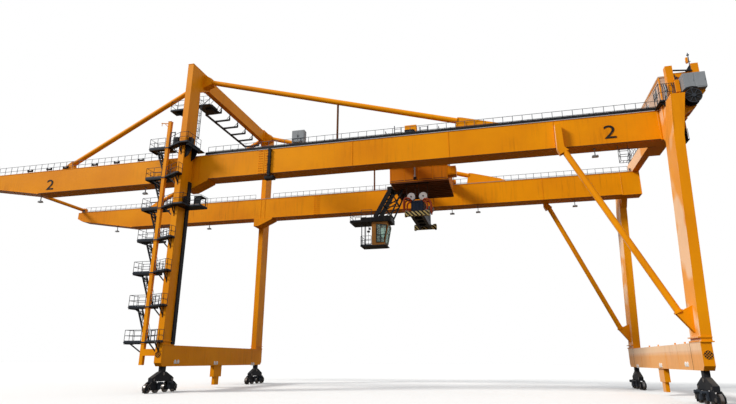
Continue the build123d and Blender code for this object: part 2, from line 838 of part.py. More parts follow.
with BuildPart() as leg_platforms:
    for index, (level, gangway_end) in enumerate(zip(landing_levels, gangway_ends)):
        with BuildSketch(Plane.XY.offset(level - platform_thickness)):
            with BuildLine():
                Polyline(
                    (landing_right_x, landing_outer_y),
                    (gangway_bend_x, gangway_outer_y),
                    (gangway_end, gangway_outer_y),
                    (gangway_end, leg_near_y),
                    (leg_left_x, leg_near_y),
                    (leg_left_x, leg_near_y + 100),
                    (landing_right_x, gangway_inner_y),
                    close=True,
                )
            make_face()
            if index in wrap_levels:
                # along the leg's right face
                with Locations(((leg_right_x + gangway_end) / 2, (leg_near_y - web_y) / 2)):
                    Rectangle(gangway_end - leg_right_x, -web_y - leg_near_y)
            if index == wrap_levels[-1]:
                # balcony over the passage
                with Locations(((gangway_end + balcony_end_x) / 2, (balcony_outer_y - web_y) / 2)):
                    Rectangle(balcony_end_x - gangway_end, -web_y - balcony_outer_y)
        extrude(amount=platform_thickness)
    # step over the girder's edge, and the rest platform on the pylon's left face
    with BuildSketch(Plane.XY.offset(landing_top - platform_thickness)):
        with Locations(((leg_right_x + gangway_ends[0]) / 2, -web_y + 190)):
            Rectangle(gangway_ends[0] - leg_right_x, 380)
    extrude(amount=platform_thickness)
    with BuildSketch(Plane.XY.offset(rest_platform_z)):
        with Locations((leg_left_x - 420, leg_near_y + 380)):
            Rectangle(840, 560)
    extrude(amount=platform_thickness)
    with BuildSketch(Plane.XZ.offset(-(leg_near_y + 380))):
        with BuildLine():
            Polyline(
                (leg_left_x, rest_platform_z),
                (leg_left_x - 700, rest_platform_z),
                (leg_left_x, rest_platform_z - rest_bracket_drop),
                close=True,
            )
        make_face()
    extrude(amount=20, both=True)
leg_platforms.part.label = "leg_platforms"
export_step(leg_platforms.part, "parts/leg_platforms.step")


# Caged ladder on the near pylon's inner face, up to a small landing under the head
ladder_foot = landing_top
ladder_head_gap = 750
ladder_top = beam_bottom - ladder_head_gap
ladder_width = 220
rung_pitch = 150
hoop_pitch = 450
hoop_radius = 190
ladder_y = -web_y + 60

with BuildPart() as pylon_ladder:
    for stile_x in (-ladder_width / 2, ladder_width / 2):
        with BuildSketch(Plane.XY.offset(ladder_foot)):
            with Locations((stile_x, ladder_y)):
                Rectangle(24, 24)
        extrude(amount=ladder_top - ladder_foot)
    for rung in range(1, int((ladder_top - ladder_foot) / rung_pitch)):
        with BuildSketch(Plane.YZ.offset(-ladder_width / 2)):
            with Locations((ladder_y, ladder_foot + rung * rung_pitch)):
                Rectangle(14, 14)
        extrude(amount=ladder_width)
    for hoop in range(2, int((ladder_top - ladder_foot) / hoop_pitch) + 1):
        hoop_z = ladder_foot + hoop * hoop_pitch - 100
        with BuildSketch(Plane.XY.offset(hoop_z)):
            with Locations((0, ladder_y + 130)):
                Circle(hoop_radius)
                Circle(hoop_radius - 14, mode=Mode.SUBTRACT)
            with Locations((0, ladder_y - 200)):
                Rectangle(600, 376, mode=Mode.SUBTRACT)
        extrude(amount=24)
    # stand-off brackets to the pylon
    for bracket_z in (ladder_foot + 300, (ladder_foot + ladder_top) / 2, ladder_top - 200):
        with BuildSketch(Plane.XZ.offset(web_y)):
            for stile_x in (-ladder_width / 2, ladder_width / 2):
                with Locations((stile_x, bracket_z)):
                    Rectangle(24, 40)
        extrude(amount=-60)
    for bar_angle in (30, 90, 150):
        bar_x = (hoop_radius - 7) * math.cos(math.radians(bar_angle))
        bar_y = ladder_y + 130 + (hoop_radius - 7) * math.sin(math.radians(bar_angle))
        with BuildSketch(Plane.XY.offset(ladder_foot + 2 * hoop_pitch - 100)):
            with Locations((bar_x, bar_y)):
                Rectangle(16, 16)
        extrude(amount=ladder_top - ladder_foot - 2 * hoop_pitch - 100)
pylon_ladder.part.label = "pylon_ladder"
export_step(pylon_ladder.part, "parts/pylon_ladder.step")


# Inspection walkway hung on the left of the pylon crossbeam
walk_drop = 370
walk_level = beam_bottom - walk_drop
walk_outer_x = -1050
walk_near_y = -1700
walk_far_y = 3300
walk_pitch = 950
walk_bar = 40

with BuildPart() as crossbeam_walkway:
    with BuildSketch(Plane.XZ.offset(-walk_far_y)):
        with Locations((walk_outer_x, walk_level)):
            Rectangle(walk_bar, 2 * walk_bar)
    extrude(amount=walk_far_y - walk_near_y)
    walk_bays = round((walk_far_y - walk_near_y) / walk_pitch)
    for bay in range(walk_bays + 1):
        bar_y = walk_near_y + walk_bar / 2 + bay * (walk_far_y - walk_near_y - walk_bar) / walk_bays
        with BuildSketch(Plane.YZ.offset(walk_outer_x)):
            with Locations((bar_y, walk_level)):
                Rectangle(walk_bar, walk_bar)
        extrude(amount=-60 - walk_outer_x)
        with BuildSketch(Plane.XY.offset(walk_level)):
            with Locations((-80, bar_y)):
                Rectangle(walk_bar, walk_bar)
        extrude(amount=beam_bottom - walk_level)
crossbeam_walkway.part.label = "crossbeam_walkway"
export_step(crossbeam_walkway.part, "parts/crossbeam_walkway.step")


# Cable tray along the near girder's top edge, and the duct that comes up the near left leg
with BuildPart() as cable_ducts:
    with BuildSketch(Plane.YZ.offset(tray_start)):
        with Locations((-(web_y - tray_width / 2), girder_top + tray_height / 2)):
            Rectangle(tray_width, tray_height)
    extrude(amount=end_joint_x - tray_start)
    for duct_foot, duct_top in (
        (leg_foot, landing_levels[2] - platform_thickness),
        (landing_levels[2], girder_bottom - 150),
    ):
        with BuildSketch(Plane.XY.offset(duct_foot)):
            with Locations((leg_right_x + 35, -web_y - 120)):
                Rectangle(70, 230)
        extrude(amount=duct_top - duct_foot)
cable_ducts.part.label = "cable_ducts"
export_step(cable_ducts.part, "parts/cable_ducts.step")

# Cabinet on the near girder's top
girder_cabinet_x = 5725
with BuildPart() as girder_cabinet:
    with BuildSketch(Plane.XY.offset(girder_top + 350)):
        with Locations((girder_cabinet_x, -(guard_y + 3680) / 2)):
            Rectangle(640, guard_y - 3680 - 60)
    extrude(amount=600)
    with BuildSketch(Plane.XY.offset(girder_top)):
        with Locations((girder_cabinet_x, -(guard_y + 3680) / 2)):
            with GridLocations(560, guard_y - 3680 - 110, 2, 2):
                Rectangle(40, 40)
    extrude(amount=350)
girder_cabinet.part.label = "girder_cabinet"
export_step(girder_cabinet.part, "parts/girder_cabinet.step")


# Floodlights on short rods under the girders
lamp_rows = {"near": (-9420, -2750, 19200), "far": (-10720, -3550, 12450, 13950, 19270)}
lamp_drop = 330
lamp_rod = 36


def girder_underside(x):
    if x >= taper_x:
        return girder_bottom
    return girder_bottom + (girder_depth - tip_cut_depth) * (taper_x - x) / (taper_x - left_tip_x - tip_cut)


with BuildPart() as floodlights:
    for name, side in sides.items():
        for lamp_x in lamp_rows[name]:
            lamp_top = girder_underside(lamp_x) - lamp_drop
            with BuildSketch(Plane.XZ.offset(-side * girder_y)):
                with BuildLine():
                    Polyline(
                        (lamp_x - lamp_rod / 2, lamp_top),
                        (lamp_x + lamp_rod / 2, lamp_top),
                        (lamp_x + lamp_rod / 2, girder_underside(lamp_x + lamp_rod / 2)),
                        (lamp_x - lamp_rod / 2, girder_underside(lamp_x - lamp_rod / 2)),
                        close=True,
                    )
                make_face()
            extrude(amount=lamp_rod / 2, both=True)
            with BuildSketch(Plane.XY.offset(lamp_top - 60)):
                with Locations((lamp_x, side * girder_y)):
                    RectangleRounded(250, 170, 40)
            extrude(amount=60)
floodlights.part.label = "floodlights"
export_step(floodlights.part, "parts/floodlights.step")


# Trolley: end carriages with wheels on the rails, crossbeams, and the hoist deck hung between the girders
trolley_x = 11290
hoist_x = 11170
trolley_half = 1475
deck_half_y = 1475
deck_bottom = 10050
deck_height = 750
deck_rib = 60
rail_clearance = 0.3
trolley_wheel_radius = 110
trolley_wheel_width = 80
trolley_wheel_x = 1150
carriage_width = 180
carriage_bottom = girder_top + rail_height + 40
carriage_top = 11670
trolley_beam_width = 300
trolley_beam_bottom = girder_top - 200
trolley_beam_half_y = inner_web_y - 40
trolley_wheel_z = girder_top + rail_height + rail_clearance + trolley_wheel_radius
wheel_places = [trolley_x - trolley_wheel_x, trolley_x + trolley_wheel_x]

with BuildPart() as trolley_frame:
    for side in sides.values():
        with BuildSketch(Plane.XZ.offset(-side * rail_y)):
            with Locations((trolley_x, (carriage_bottom + carriage_top) / 2)):
                Rectangle(2 * trolley_half, carriage_top - carriage_bottom)
        extrude(amount=carriage_width / 2, both=True)
        # wheel pockets
        with BuildSketch(Plane.XZ.offset(-side * rail_y)):
            for wheel_x in wheel_places:
                with Locations((wheel_x, trolley_wheel_z)):
                    Circle(trolley_wheel_radius + 12)
        extrude(amount=trolley_wheel_width / 2 + 8, both=True, mode=Mode.SUBTRACT)
    for beam_x in wheel_places:
        with BuildSketch(Plane.XZ.offset(-trolley_beam_half_y)):
            with Locations((beam_x, (trolley_beam_bottom + carriage_top) / 2)):
                Rectangle(trolley_beam_width, carriage_top - trolley_beam_bottom)
        extrude(amount=2 * trolley_beam_half_y)
        # stepped ends over the girders' edges
        with BuildSketch(Plane.XZ.offset(-rail_y + carriage_width / 2)):
            with Locations((beam_x, (carriage_bottom + carriage_top) / 2)):
                Rectangle(trolley_beam_width, carriage_top - carriage_bottom)
        extrude(amount=2 * rail_y - carriage_width)
    # hangers down to the hoist deck
    with BuildSketch(Plane.XY.offset(deck_bottom + deck_height)):
        for beam_x in wheel_places:
            with Locations((beam_x, -1200), (beam_x, 1200)):
                Rectangle(160, 160)
    extrude(amount=trolley_beam_bottom - deck_bottom - deck_height)
trolley_frame.part.label = "trolley_frame"
export_step(trolley_frame.part, "parts/trolley_frame.step")

with BuildPart() as trolley_wheels:
    for side in sides.values():
        for wheel_x in wheel_places:
            with BuildSketch(Plane.XZ.offset(-side * rail_y)):
                with Locations((wheel_x, trolley_wheel_z)):
                    Circle(trolley_wheel_radius)
            extrude(amount=trolley_wheel_width / 2, both=True)
            with BuildSketch(Plane.XZ.offset(-side * rail_y)):
                with Locations((wheel_x, trolley_wheel_z)):
                    Circle(30)
            extrude(amount=trolley_wheel_width / 2 + 8, both=True)
trolley_wheels.part.label = "trolley_wheels"
export_step(trolley_wheels.part, "parts/trolley_wheels.step")

rib_count = 11
with BuildPart() as hoist_deck:
    with BuildSketch(Plane.XY.offset(deck_bottom)):
        with Locations((trolley_x, 0)):
            Rectangle(2 * trolley_half, 2 * deck_half_y)
    extrude(amount=deck_height)
    with BuildSketch(Plane.XY.offset(deck_bottom)):
        for rib in range(rib_count):
            rib_y = -deck_half_y + 20 + rib * (2 * deck_half_y - 40) / (rib_count - 1)
            with Locations((trolley_x, rib_y)):
                Rectangle(2 * trolley_half, 40)
    extrude(amount=-deck_rib)
hoist_deck.part.label = "hoist_deck"
export_step(hoist_deck.part, "parts/hoist_deck.step")

with BuildPart() as trolley_cabinets:
    with BuildSketch(Plane.XY.offset(carriage_top)):
        for side in sides.values():
            with Locations((trolley_x, side * (rail_y - 60))):
                Rectangle(560, 280)
    extrude(amount=460)
    with BuildSketch(Plane.YZ.offset(trolley_x + trolley_half)):
        with Locations((-deck_half_y + 250, deck_bottom + 435)):
            Rectangle(500, 450)
    extrude(amount=400)
trolley_cabinets.part.label = "trolley_cabinets"
export_step(trolley_cabinets.part, "parts/trolley_cabinets.step")


# Spreader with its head block and rope sheaves, hung on the hoist ropes
spreader_half_x = 610
spreader_half_y = 1530
spreader_bottom = 8235
spreader_top = 8470
end_beam_depth = 150
spine_x = 260
spine_width = 160
head_half_x = 315
head_half_y = 1330
head_top = 9080
sheave_radius = 210
sheave_thickness = 70
sheave_x = 305
sheave_y = 1260
rope_radius = 12
rope_clearance = 0.3
sheave_z = head_top + sheave_radius + 2

with BuildPart() as spreader:
    with BuildSketch(Plane.XY.offset(spreader_bottom)):
        for side in sides.values():
            with Locations((hoist_x, side * (spreader_half_y - end_beam_depth / 2))):
                Rectangle(2 * spreader_half_x, end_beam_depth)
            with Locations((hoist_x + side * spine_x, 0)):
                Rectangle(spine_width, 2 * spreader_half_y - end_beam_depth)
        for cross_y in (-700, 0, 700):
            with Locations((hoist_x, cross_y)):
                Rectangle(2 * spine_x, 180)
    extrude(amount=spreader_top - spreader_bottom)
    # corner housings
    with BuildSketch(Plane.XY.offset(spreader_bottom - 25)):
        with Locations((hoist_x, 0)):
            with GridLocations(2 * spreader_half_x - 110, 2 * spreader_half_y - 130, 2, 2):
                Rectangle(110, 130)
    extrude(amount=25)
spreader.part.label = "spreader"
export_step(spreader.part, "parts/spreader.step")

with BuildPart() as head_block:
    with BuildSketch(Plane.XY.offset(spreader_top)):
        with Locations((hoist_x, 0)):
            Rectangle(2 * head_half_x, 2 * head_half_y)
    extrude(amount=head_top - spreader_top)
    # sheave brackets at both ends
    for side in sides.values():
        for bracket_y in (sheave_y - sheave_thickness / 2 - 22, sheave_y + sheave_thickness / 2 + 2):
            with BuildSketch(Plane.XZ.offset(-side * bracket_y)):
                for bracket_x in (hoist_x - sheave_x, hoist_x + sheave_x):
                    with Locations((bracket_x, head_top + (sheave_radius + 40) / 2)):
                        Rectangle(120, sheave_radius + 40)
                    with Locations((bracket_x, sheave_z)):
                        Circle(25.3, mode=Mode.SUBTRACT)
            extrude(amount=-side * 20)
head_block.part.label = "head_block"
export_step(head_block.part, "parts/head_block.step")

with BuildPart() as rope_sheaves:
    for side in sides.values():
        for place in (-sheave_x, sheave_x):
            with BuildSketch(Plane.XZ.offset(-side * sheave_y)):
                with Locations((hoist_x + place, sheave_z)):
                    Circle(sheave_radius)
            extrude(amount=sheave_thickness / 2, both=True)
            with BuildSketch(Plane.XZ.offset(-side * sheave_y)):
                with Locations((hoist_x + place, sheave_z)):
                    Circle(25)
            extrude(amount=sheave_thickness / 2 + 24, both=True)
rope_sheaves.part.label = "rope_sheaves"
export_step(rope_sheaves.part, "parts/rope_sheaves.step")

with BuildPart() as hoist_ropes:
    with BuildSketch(Plane.XY.offset(sheave_z)):
        for side in sides.values():
            for place in (-sheave_x, sheave_x):
                for edge in (-1, 1):
                    rope_x = hoist_x + place + edge * (sheave_radius + rope_radius + rope_clearance)
                    with Locations((rope_x, side * sheave_y)):
                        Circle(rope_radius)
    extrude(amount=deck_bottom - sheave_z)
hoist_ropes.part.label = "hoist_ropes"
export_step(hoist_ropes.part, "parts/hoist_ropes.step")


# Operator's cab, hung from the hoist deck by a truss
cab_left_x = 8600
cab_floor_z = 7115
cab_top_z = 8340
cab_half_y = 420
cab_front_low_x = 9270
cab_front_high_x = 9480
cab_wall = 30
cab_deck_left_x = 7430
cab_deck_step_x = 8020
cab_deck_right_x = 9640
cab_deck_half_y = 530
cab_deck_top = 8580
cab_rear_x = 7990
rear_post_x = cab_rear_x + 70
front_glass_low = cab_floor_z + 145
front_glass_high = cab_top_z - 185
front_glass_half_y = cab_half_y - 55


def cab_front_x(z):
    return cab_front_low_x + (cab_front_high_x - cab_front_low_x) * (z - cab_floor_z) / (cab_top_z - 180 - cab_floor_z)


with BuildPart() as cab_body:
    with BuildSketch(Plane.XZ) as cab_outline:
        with BuildLine():
            Polyline(
                (cab_left_x, cab_floor_z),
                (cab_front_low_x, cab_floor_z),
                (cab_front_high_x, cab_top_z - 180),
                (cab_front_high_x - 60, cab_top_z),
                (cab_left_x, cab_top_z),
                close=True,
            )
        make_face()
    extrude(amount=cab_half_y, both=True)
    with BuildSketch(Plane.XZ):
        add(cab_outline.sketch)
        offset(amount=-cab_wall, kind=Kind.INTERSECTION, mode=Mode.REPLACE)
    extrude(amount=cab_half_y - cab_wall, both=True, mode=Mode.SUBTRACT)
    # side windows
    with BuildSketch(Plane.XZ):
        with BuildLine():
            Polyline(
                (cab_left_x + 250, cab_floor_z + 130),
                (cab_front_low_x - 20, cab_floor_z + 130),
                (cab_front_high_x - 70, cab_top_z - 190),
                (cab_left_x + 250, cab_top_z - 120),
                close=True,
            )
        make_face()
    extrude(amount=2 * cab_half_y, both=True, mode=Mode.SUBTRACT)
    # front window, through the slanted face
    with BuildSketch(Plane.YZ.offset(cab_front_low_x - 60)):
        with Locations((0, (front_glass_low + front_glass_high) / 2)):
            Rectangle(2 * front_glass_half_y, front_glass_high - front_glass_low)
    extrude(amount=500, mode=Mode.SUBTRACT)
cab_body.part.label = "cab_body"
export_step(cab_body.part, "parts/cab_body.step")

with BuildPart() as cab_glass:
    # side panes
    for side in sides.values():
        with BuildSketch(Plane.XZ.offset(-side * (cab_half_y - cab_wall / 2))):
            with BuildLine():
                Polyline(
                    (cab_left_x + 250, cab_floor_z + 130),
                    (cab_front_low_x - 20, cab_floor_z + 130),
                    (cab_front_high_x - 70, cab_top_z - 190),
                    (cab_left_x + 250, cab_top_z - 120),
                    close=True,
                )
            make_face()
        extrude(amount=4, both=True)
    # slanted front pane
    with BuildSketch(Plane.XZ):
        with BuildLine():
            Polyline(
                (cab_front_x(front_glass_low) - 20, front_glass_low),
                (cab_front_x(front_glass_high) - 20, front_glass_high),
                (cab_front_x(front_glass_high) - 12, front_glass_high),
                (cab_front_x(front_glass_low) - 12, front_glass_low),
                close=True,
            )
        make_face()
    extrude(amount=front_glass_half_y, both=True)
cab_glass.part.label = "cab_glass"
export_step(cab_glass.part, "parts/cab_glass.step")

with BuildPart() as cab_deck:
    with BuildSketch(Plane.XY.offset(cab_top_z)):
        with Locations(((cab_deck_step_x + cab_deck_right_x) / 2, 0)):
            Rectangle(cab_deck_right_x - cab_deck_step_x, 2 * cab_deck_half_y)
    extrude(amount=cab_deck_top - cab_top_z)
    with BuildSketch(Plane.XY.offset(cab_top_z)):
        with Locations(((cab_deck_left_x + cab_deck_step_x) / 2, 0)):
            Rectangle(cab_deck_step_x - cab_deck_left_x, 2 * cab_deck_half_y)
    extrude(amount=80)
    # rear balcony: posts down to a floor behind the cab
    with BuildSketch(Plane.XY.offset(cab_floor_z)):
        with Locations((rear_post_x, -cab_half_y + 20), (rear_post_x, cab_half_y - 20)):
            Rectangle(40, 40)
    extrude(amount=cab_top_z - cab_floor_z)
    with BuildSketch(Plane.XY.offset(cab_floor_z)):
        with Locations(((cab_rear_x + cab_front_low_x) / 2, 0)):
            Rectangle(cab_front_low_x - cab_rear_x, 2 * cab_half_y)
    extrude(amount=-50)
cab_deck.part.label = "cab_deck"
export_step(cab_deck.part, "parts/cab_deck.step")

# truss: two flat sides of a thick rear leg, a slim front leg and bracing, joined by cross ties
truss_half_y = 400
truss_top_z = deck_bottom
rear_top_x = 9600
rear_low_x = 8780
front_top_x = 10280
front_low_x = 9590
truss_bays = 2
deck_left_x = trolley_x - trolley_half
truss_bars = [
    ((rear_top_x, truss_top_z), (rear_low_x, cab_deck_top), 190),
    ((front_top_x, truss_top_z), (front_low_x, cab_deck_top), 70),
]
for bay in range(truss_bays):
    low, high = bay / truss_bays, (bay + 1) / truss_bays
    rear_here = rear_top_x + (rear_low_x - rear_top_x) * low
    rear_next = rear_top_x + (rear_low_x - rear_top_x) * high
    front_here = front_top_x + (front_low_x - front_top_x) * low
    front_next = front_top_x + (front_low_x - front_top_x) * high
    z_here = truss_top_z + (cab_deck_top - truss_top_z) * low - 40
    z_next = truss_top_z + (cab_deck_top - truss_top_z) * high + 40
    truss_bars.append(((rear_here, z_here), (front_next, z_next), 40))
    truss_bars.append(((rear_next, z_next), (front_here, z_here), 40))
    truss_bars.append(((rear_next, z_next), (front_next, z_next), 40))

with BuildPart() as cab_truss:
    for side in sides.values():
        for start, finish, size in truss_bars:
            run = Vector(finish[0] - start[0], 0, finish[1] - start[1])
            foot = (start[0], side * truss_half_y, start[1])
            with BuildSketch(Plane(origin=foot, x_dir=(0, 1, 0), z_dir=run.normalized())):
                Rectangle(size, size)
            extrude(amount=run.length)
    for share in (0.12, 0.5, 0.94):
        for top_x, low_x in ((rear_top_x, rear_low_x), (front_top_x, front_low_x)):
            tie_at_x = top_x + (low_x - top_x) * share
            tie_at_z = truss_top_z + (cab_deck_top - truss_top_z) * share
            with BuildSketch(Plane.XZ.offset(-truss_half_y)):
                with Locations((tie_at_x, tie_at_z)):
                    Rectangle(50, 50)
            extrude(amount=2 * truss_half_y)
    # keep the bars between the hoist deck and the cab's deck
    split(bisect_by=Plane.XY.offset(truss_top_z), keep=Keep.BOTTOM)
    split(bisect_by=Plane.XY.offset(cab_deck_top), keep=Keep.TOP)
    # head frame on the hoist deck's left end, over the rear legs
    with BuildSketch(Plane.XY.offset(truss_top_z)):
        with Locations(((rear_top_x - 140 + deck_left_x) / 2, 0)):
            Rectangle(deck_left_x - rear_top_x + 140, 2 * truss_half_y + 190)
    extrude(amount=150)
cab_truss.part.label = "cab_truss"
export_step(cab_truss.part, "parts/cab_truss.step")
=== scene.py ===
from math import copysign, cos, pi, radians, sin, sqrt
import bpy
import bmesh
from mathutils import Vector, Matrix


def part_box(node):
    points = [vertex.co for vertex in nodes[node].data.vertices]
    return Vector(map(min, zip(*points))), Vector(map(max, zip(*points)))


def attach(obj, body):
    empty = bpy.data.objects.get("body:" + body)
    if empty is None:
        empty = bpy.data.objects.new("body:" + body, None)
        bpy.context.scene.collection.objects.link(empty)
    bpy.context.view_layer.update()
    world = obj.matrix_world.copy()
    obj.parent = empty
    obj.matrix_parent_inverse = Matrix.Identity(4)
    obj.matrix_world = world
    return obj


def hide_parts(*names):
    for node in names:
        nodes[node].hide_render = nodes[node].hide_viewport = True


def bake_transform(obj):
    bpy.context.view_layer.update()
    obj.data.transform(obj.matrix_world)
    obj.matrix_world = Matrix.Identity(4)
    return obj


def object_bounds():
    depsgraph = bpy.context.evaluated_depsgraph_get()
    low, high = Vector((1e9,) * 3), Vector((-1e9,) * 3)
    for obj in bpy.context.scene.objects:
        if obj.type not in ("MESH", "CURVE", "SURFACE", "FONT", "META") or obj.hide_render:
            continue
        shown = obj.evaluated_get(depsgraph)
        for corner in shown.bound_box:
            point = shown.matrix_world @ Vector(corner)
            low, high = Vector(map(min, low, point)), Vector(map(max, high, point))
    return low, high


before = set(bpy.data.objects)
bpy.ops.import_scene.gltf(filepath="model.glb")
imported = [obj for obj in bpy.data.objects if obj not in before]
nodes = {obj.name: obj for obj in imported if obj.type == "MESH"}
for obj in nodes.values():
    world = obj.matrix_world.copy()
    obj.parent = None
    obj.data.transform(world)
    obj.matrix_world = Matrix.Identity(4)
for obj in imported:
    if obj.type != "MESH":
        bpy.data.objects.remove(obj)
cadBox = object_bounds()
scene = bpy.context.scene
print("frame loaded")

# places read from the frame, in metres
nearLow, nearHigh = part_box("girder_near")
girderTop, girderBottom = nearHigh.z, nearLow.z
outerWebY, innerWebY = -nearLow.y, -nearHigh.y
girderMidY = (outerWebY + innerWebY) / 2

# places shared by several pieces; the left portal frame stands at x 0
sideOf = {"near": -1, "far": 1}
bothSides = (-1, 1)
rightX = 21.55
leftLegY = 4.675
railY = 3.56


# node helpers

def addObject(name, data):
    thing = bpy.data.objects.new(name, data)
    scene.collection.objects.link(thing)
    return thing


def putIn(tree, socket, value):
    # links another socket to this one, or sets it to a plain value
    if isinstance(value, bpy.types.NodeSocket):
        tree.links.new(value, socket)
    else:
        socket.default_value = value


def feed(tree, node, **values):
    # values of the node's inputs by name, with _ for a space
    for label, value in values.items():
        putIn(tree, node.inputs[label.replace("_", " ")], value)
    return node


def addNode(tree, kind, **values):
    return feed(tree, tree.nodes.new(kind), **values)


def addMath(tree, operation, *values, clamp=False):
    node = tree.nodes.new("ShaderNodeMath")
    node.operation, node.use_clamp = operation, clamp
    for socket, value in zip(node.inputs, values):
        putIn(tree, socket, value)
    return node.outputs[0]


def times(tree, first, second, clamp=False):
    return addMath(tree, "MULTIPLY", first, second, clamp=clamp)


def mixSeen(tree, hidden, seen, target):
    # the second shader where a ray comes from the camera or through a glass, else the first
    path = tree.nodes.new("ShaderNodeLightPath").outputs
    ray = addMath(tree, "MAXIMUM", path["Is Camera Ray"], path["Is Transmission Ray"])
    mix = tree.nodes.new("ShaderNodeMixShader")
    for socket, value in zip(mix.inputs, (ray, hidden.outputs[0], seen.outputs[0])):
        putIn(tree, socket, value)
    putIn(tree, target, mix.outputs[0])


def newMaterial(name):
    mat = bpy.data.materials.new(name)
    mat.use_nodes = True
    return mat, mat.node_tree, mat.node_tree.nodes["Principled BSDF"]


# camera and light

view = {"lens": 25.617, "sensorWidth": 36.0, "place": (14.991, -26.263, 1.411), "yawLeft": 14.315,
        "pitchUp": 16.778, "roll": 0.206, "nearest": 0.1, "farthest": 600}


def makeCamera():
    yaw, pitch, roll = [radians(view[key]) for key in ("yawLeft", "pitchUp", "roll")]
    forward = Vector((-sin(yaw) * cos(pitch), cos(yaw) * cos(pitch), sin(pitch)))
    levelRight = Vector((cos(yaw), sin(yaw), 0))
    levelUp = levelRight.cross(forward)
    right = levelRight * cos(roll) + levelUp * sin(roll)
    up = levelUp * cos(roll) - levelRight * sin(roll)
    data = bpy.data.cameras.new("photoCamera")
    data.sensor_fit = "HORIZONTAL"
    data.sensor_width, data.lens = view["sensorWidth"], view["lens"]
    data.clip_start, data.clip_end = view["nearest"], view["farthest"]
    scene.camera = addObject("photoCamera", data)
    turn = Matrix((right, up, -forward)).transposed()
    scene.camera.matrix_world = Matrix.Translation(view["place"]) @ turn.to_4x4()


light = {"skyStrength": 0.74, "skyColour": (0.93, 0.96, 1.0, 1), "backColour": (1, 1, 1, 1),
         "sunStrength": 3.0, "sunColour": (1.0, 0.97, 0.92), "sunFrom": (-0.74, -0.52, 0.62),
         "sunSoftness": 14}
floor = {"halfSize": 130, "colour": (0.86, 0.86, 0.85, 1), "bounce": (0.095, 0.070, 0.046, 1), "rough": 0.9}


def makeLight():
    world = bpy.data.worlds.new("studioWorld")
    scene.world = world
    world.use_nodes = True
    tree = world.node_tree
    tree.nodes.clear()
    sky = addNode(tree, "ShaderNodeBackground", Color=light["skyColour"], Strength=light["skyStrength"])
    back = addNode(tree, "ShaderNodeBackground", Color=light["backColour"], Strength=1.0)
    mixSeen(tree, sky, back, tree.nodes.new("ShaderNodeOutputWorld").inputs["Surface"])
    data = bpy.data.lights.new("softSun", "SUN")
    data.energy, data.color = light["sunStrength"], light["sunColour"]
    data.angle = radians(light["sunSoftness"])
    sun = addObject("softSun", data)
    sun.rotation_mode = "QUATERNION"
    sun.rotation_quaternion = Vector(light["sunFrom"]).to_track_quat("Z", "Y")


def makeFloor():
    middle = (cadBox[0] + cadBox[1]) / 2
    mesh = bpy.data.meshes.new("floor")
    mesh.from_pydata([(middle.x + sx * floor["halfSize"], middle.y + sy * floor["halfSize"], cadBox[0].z)
                      for sx, sy in ((-1, -1), (1, -1), (1, 1), (-1, 1))], [], [(0, 1, 2, 3)])
    mat, tree, pale = newMaterial("floorPale")
    feed(tree, pale, Base_Color=floor["colour"], Roughness=floor["rough"])
    # what the floor throws back on the undersides is weaker than it looks
    weak = addNode(tree, "ShaderNodeBsdfDiffuse", Color=floor["bounce"])
    mixSeen(tree, weak, pale, tree.nodes["Material Output"].inputs["Surface"])
    mesh.materials.append(mat)
    ground = addObject("floor", mesh)


makeCamera()
makeLight()
makeFloor()
scene.view_settings.view_transform = "Standard"
print("camera, light and floor made")


# shader groups shared by the finishes

def addRamp(tree, source, low, high):
    node = addNode(tree, "ShaderNodeMapRange", From_Min=low, From_Max=high, Value=source)
    node.clamp = True
    return node.outputs["Result"]


def addNoise(tree, vector, scale, detail=4.0, rough=0.55):
    return addNode(tree, "ShaderNodeTexNoise", Detail=detail, Roughness=rough, Scale=scale,
                   Vector=vector).outputs["Fac"]


def objectPlace(tree):
    return tree.nodes.new("ShaderNodeTexCoord").outputs["Object"]


def axesOf(tree, vector):
    return addNode(tree, "ShaderNodeSeparateXYZ", Vector=vector).outputs


def facingAxes(tree):
    return axesOf(tree, tree.nodes.new("ShaderNodeNewGeometry").outputs["Normal"])


def newGroup(name, output, **values):
    # a group with float inputs and one float output; gives its inputs and a place to work from
    group = bpy.data.node_groups.new(name, "ShaderNodeTree")
    for label, value in values.items():
        socket = group.interface.new_socket(name=label.replace("_", " "), in_out="INPUT",
                                            socket_type="NodeSocketFloat")
        socket.default_value = value
    group.interface.new_socket(name=output, in_out="OUTPUT", socket_type="NodeSocketFloat")
    return group, group.nodes.new("NodeGroupInput").outputs, objectPlace(group)


def closeGroup(group, value, amount=None):
    if amount is not None:
        value = times(group, value, amount, clamp=True)
    putIn(group, group.nodes.new("NodeGroupOutput").inputs[0], value)
    return group


def makeRunoffGroup():
    # rain streaks that run down the side of a plate, strongest in patches
    group, given, place = newGroup("rainStreaks", "Mask", Width=9.0, Amount=0.5)
    thin = addNode(group, "ShaderNodeMapping", Scale=(1.0, 1.0, 0.07), Vector=place).outputs["Vector"]
    streak = addRamp(group, addNoise(group, thin, given["Width"], 5.0, 0.62), 0.50, 0.78)
    patch = addRamp(group, addNoise(group, place, 0.45, 3.0), 0.42, 0.70)
    return closeGroup(group, times(group, streak, patch), given["Amount"])


def makeDustGroup():
    # dust in clouds, thick on faces that look up and a thin film elsewhere
    group, given, place = newGroup("settledDust", "Mask", Cloud_Size=1.4, Amount=0.5)
    upward = addRamp(group, facingAxes(group)["Z"], 0.25, 0.95)
    cloud = addRamp(group, addNoise(group, place, given["Cloud Size"], 5.0), 0.35, 0.68)
    total = addMath(group, "ADD", times(group, upward, cloud), times(group, cloud, 0.16))
    return closeGroup(group, total, given["Amount"])


